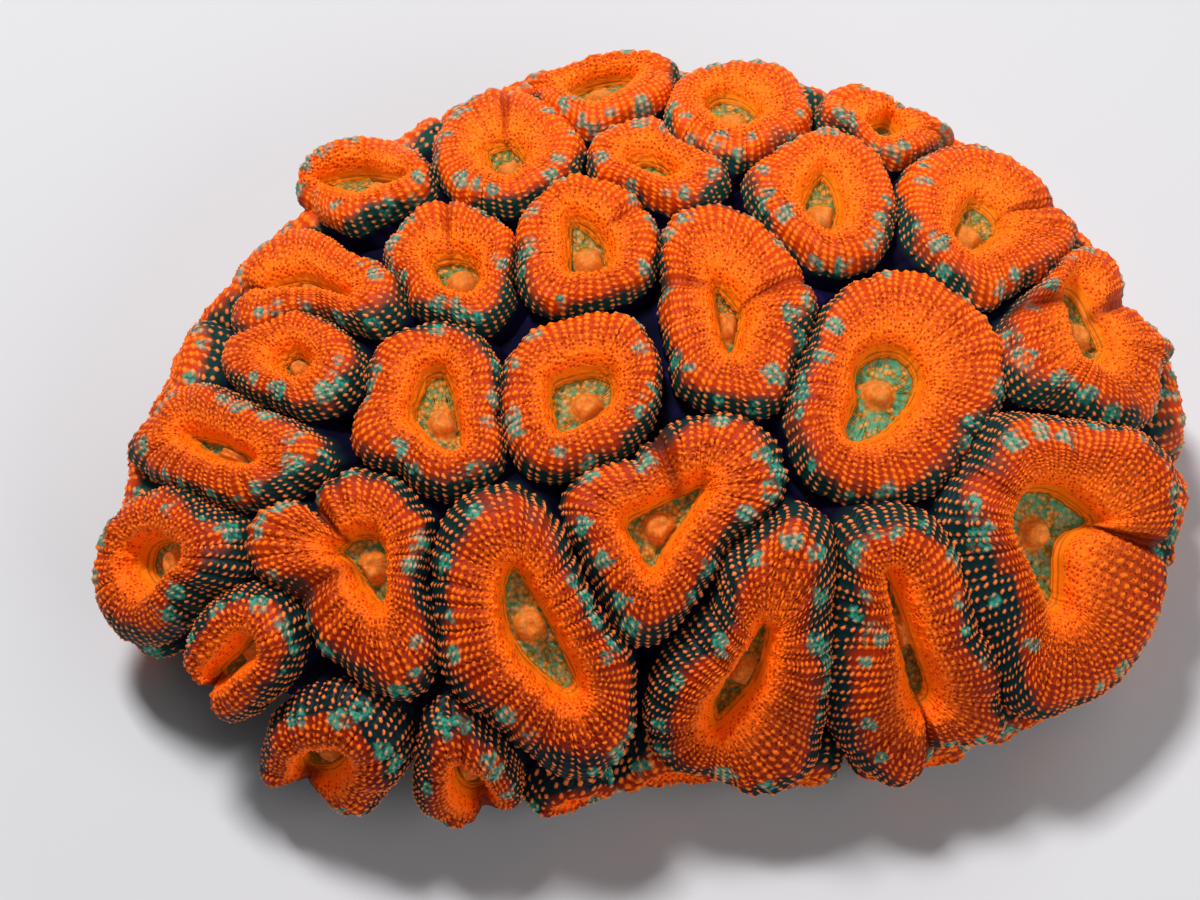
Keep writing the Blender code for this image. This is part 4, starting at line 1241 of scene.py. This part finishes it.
# %% [markdown]
# The disc is covered with coloured grains. A Voronoi texture gives each grain one random number,
# which a ramp turns into green, olive or orange, and its distance darkens the gaps. A noise
# stains some discs turquoise, as far as the table of the discs says.

# %% Skin, fourth step: the grains of the disc
GRAIN_GREEN = (0.07, 0.22, 0.09, 1)
GRAIN_OLIVE = (0.24, 0.19, 0.025, 1)
GRAIN_ORANGE = (0.55, 0.20, 0.016, 1)
GRAIN_BRIGHT = (0.70, 0.25, 0.04, 1)
GRAIN_GAP = (0.45, 0.45, 0.35, 1)
DISC_TURQUOISE = (0.03, 0.27, 0.15, 1)

grain = texture(tree, "ShaderNodeTexVoronoi", 2300, place)
grain_kind = tree.nodes.new("ShaderNodeSeparateColor")
tree.links.new(grain.outputs["Color"], grain_kind.inputs[0])
grain_colour = steps_of(tree, grain_kind.outputs[0], [
    (0.0, GRAIN_GREEN), (0.3, GRAIN_OLIVE), (0.55, GRAIN_ORANGE), (1.0, GRAIN_BRIGHT)])
grain_shade = steps_of(tree, grain.outputs["Distance"], [(0.30, WHITE), (0.70, GRAIN_GAP)])
shaded_grain = shaded(tree, 1.0, grain_colour, grain_shade)
disc_band = band(tree, station, 0.70, 0.79, 0.02, 0.025)
grain_band = steps_of(tree, station, [
    (0.68, BLACK), (0.70, WHITE), (0.79, WHITE), (0.83, (0.4, 0.4, 0.4, 1)),
    (0.95, (0.4, 0.4, 0.4, 1)), (1.0, BLACK)])
granular = mixed(tree, grain_band, patched, shaded_grain)
disc_noise = texture(tree, "ShaderNodeTexNoise", 1100, place, Detail=2.0)
disc_teal = steps_of(tree, disc_noise.outputs["Fac"], [(0.42, BLACK), (0.56, WHITE)])
teal_share = sum_of(tree, "MULTIPLY", disc_teal, stored(tree, "disc_teal"))
teal_in_disc = sum_of(tree, "MULTIPLY", teal_share, disc_band)
with_disc = mixed(tree, teal_in_disc, granular, DISC_TURQUOISE)
told("grains", tree)

# %% [markdown]
# The inner slope has a net of tiny pits in place of beads, another Voronoi texture whose middles
# are dark: partly the net's own pattern and partly painted shade in the pits. Folds between lobes,
# and the discs that lie in shadow, get painted shade that ends in a deep red. The living coral
# glows under blue light; here the same colour is given off faintly as a painted glow, though no
# lamp makes it, which keeps the shaded parts bright. The wet skin is only half glossy, because its
# bumps are smaller than the render can show one by one.

# %% Skin, fifth step: the net, the painted shade of the hollows, the painted glow and the shine
NET_PIT_SHADE = (0.42, 0.17, 0.12, 1)
# Painted shade: the deep red that creases and shaded discs are mixed towards
HOLLOW_SHADE_RED = (0.13, 0.010, 0.001, 1)
HOLLOW_SHADE_STRENGTH = 0.85
PAINTED_GLOW = 0.18

# The net's dark pits are partly its own pattern and partly painted shade in the pits
net = texture(tree, "ShaderNodeTexVoronoi", 2500, place, Randomness=0.7)
net_shade = steps_of(tree, net.outputs["Distance"], [(0.18, NET_PIT_SHADE), (0.46, WHITE)])
slope_band = band(tree, station, 0.47, 0.585, 0.06, 0.03)
netted = shaded(tree, slope_band, with_disc, net_shade)
# Painted shade in the creases and in the discs that lie in shadow
disc_shade_in_disc = sum_of(tree, "MULTIPLY", stored(tree, "disc_shade"), grain_band)
hollow_or_disc_shade = sum_of(tree, "MAXIMUM", stored(tree, "hollow"), disc_shade_in_disc)
hollow_shade_amount = sum_of(tree, "MULTIPLY", hollow_or_disc_shade, HOLLOW_SHADE_STRENGTH)
with_painted_shade = mixed(tree, hollow_shade_amount, netted, HOLLOW_SHADE_RED)
tree.links.new(with_painted_shade, surface.inputs["Base Color"])
# A painted glow: the skin gives off its own colour faintly, though no lamp is there, which lifts
# its shaded parts
tree.links.new(with_painted_shade, surface.inputs["Emission Color"])
surface.inputs["Emission Strength"].default_value = PAINTED_GLOW
surface.inputs["Roughness"].default_value = 0.48
surface.inputs["Specular IOR Level"].default_value = 0.10
told("net and hollows", tree)

# %% [markdown]
# The last step of the skin is its finest relief: each bead is rounded a little more, the net
# sinks in, and a fine grain breaks the shine. It is a fifth of a millimetre high at most, so
# bump nodes do it better than points of the mesh would.

# %% Skin, last step: the fine relief
net_height = sum_of(tree, "MULTIPLY", net.outputs["Distance"], slope_band)
bead_bump = bump(tree, bead, 0.6, 0.00016)
net_bump = bump(tree, net_height, 0.9, 0.00022, bead_bump)
fine = texture(tree, "ShaderNodeTexNoise", 5200, place, Detail=2.0)
skin_bump = bump(tree, fine.outputs["Fac"], 0.25, 0.00005, net_bump)
tree.links.new(skin_bump, surface.inputs["Normal"])
for polyp in polyps:
    polyp.data.materials.append(skin)
told("polyp skin", tree)

# %% [markdown]
# The tissue of the grooves is nearly black with a breath of indigo, partly its own colour and
# partly painted shade of the deep grooves, and it is dull, because a shine down there would look
# like grey dust. The skeleton is porous, stained stone: a Voronoi texture makes the pores, in
# colour and in relief, and a broad noise the stains.

# %% The dark tissue and the skeleton
TISSUE_BLACK = (0.002, 0.002, 0.010, 1)
TISSUE_INDIGO = (0.004, 0.003, 0.022, 1)
TISSUE_VIOLET = (0.020, 0.008, 0.070, 1)
BONE_DARK = (0.10, 0.055, 0.045, 1)
BONE_BROWN = (0.22, 0.15, 0.11, 1)
BONE_PALE = (0.42, 0.36, 0.28, 1)
PORE_SHADE = (0.35, 0.33, 0.30, 1)

dark, tree, surface = new_material("groove_tissue")
place = tree.nodes.new("ShaderNodeTexCoord").outputs["Object"]
cloud = texture(tree, "ShaderNodeTexNoise", 420, place, Detail=3.0)
# Near-black colour, partly the tissue's own and partly painted shade of the deep grooves
tissue_colour = steps_of(tree, cloud.outputs["Fac"], [
    (0.35, TISSUE_BLACK), (0.58, TISSUE_INDIGO), (0.72, TISSUE_VIOLET)])
tree.links.new(tissue_colour, surface.inputs["Base Color"])
surface.inputs["Roughness"].default_value = 0.8
surface.inputs["Specular IOR Level"].default_value = 0.04
tree.links.new(bump(tree, cloud.outputs["Fac"], 0.4, 0.0002), surface.inputs["Normal"])
tissue.data.materials.append(dark)

bone, tree, surface = new_material("coral_skeleton")
place = tree.nodes.new("ShaderNodeTexCoord").outputs["Object"]
pores = texture(tree, "ShaderNodeTexVoronoi", 1300, place)
stain = texture(tree, "ShaderNodeTexNoise", 90, place, Detail=5.0)
bone_colour = steps_of(tree, stain.outputs["Fac"], [
    (0.35, BONE_DARK), (0.55, BONE_BROWN), (0.72, BONE_PALE)])
pore_shade = steps_of(tree, pores.outputs["Distance"], [(0.0, PORE_SHADE), (0.5, WHITE)])
tree.links.new(shaded(tree, 0.7, bone_colour, pore_shade), surface.inputs["Base Color"])
surface.inputs["Roughness"].default_value = 0.85
tree.links.new(bump(tree, pores.outputs["Distance"], 0.6, 0.0003), surface.inputs["Normal"])
foot.data.materials.append(bone)
print("materials:", [material.name for material in bpy.data.materials])
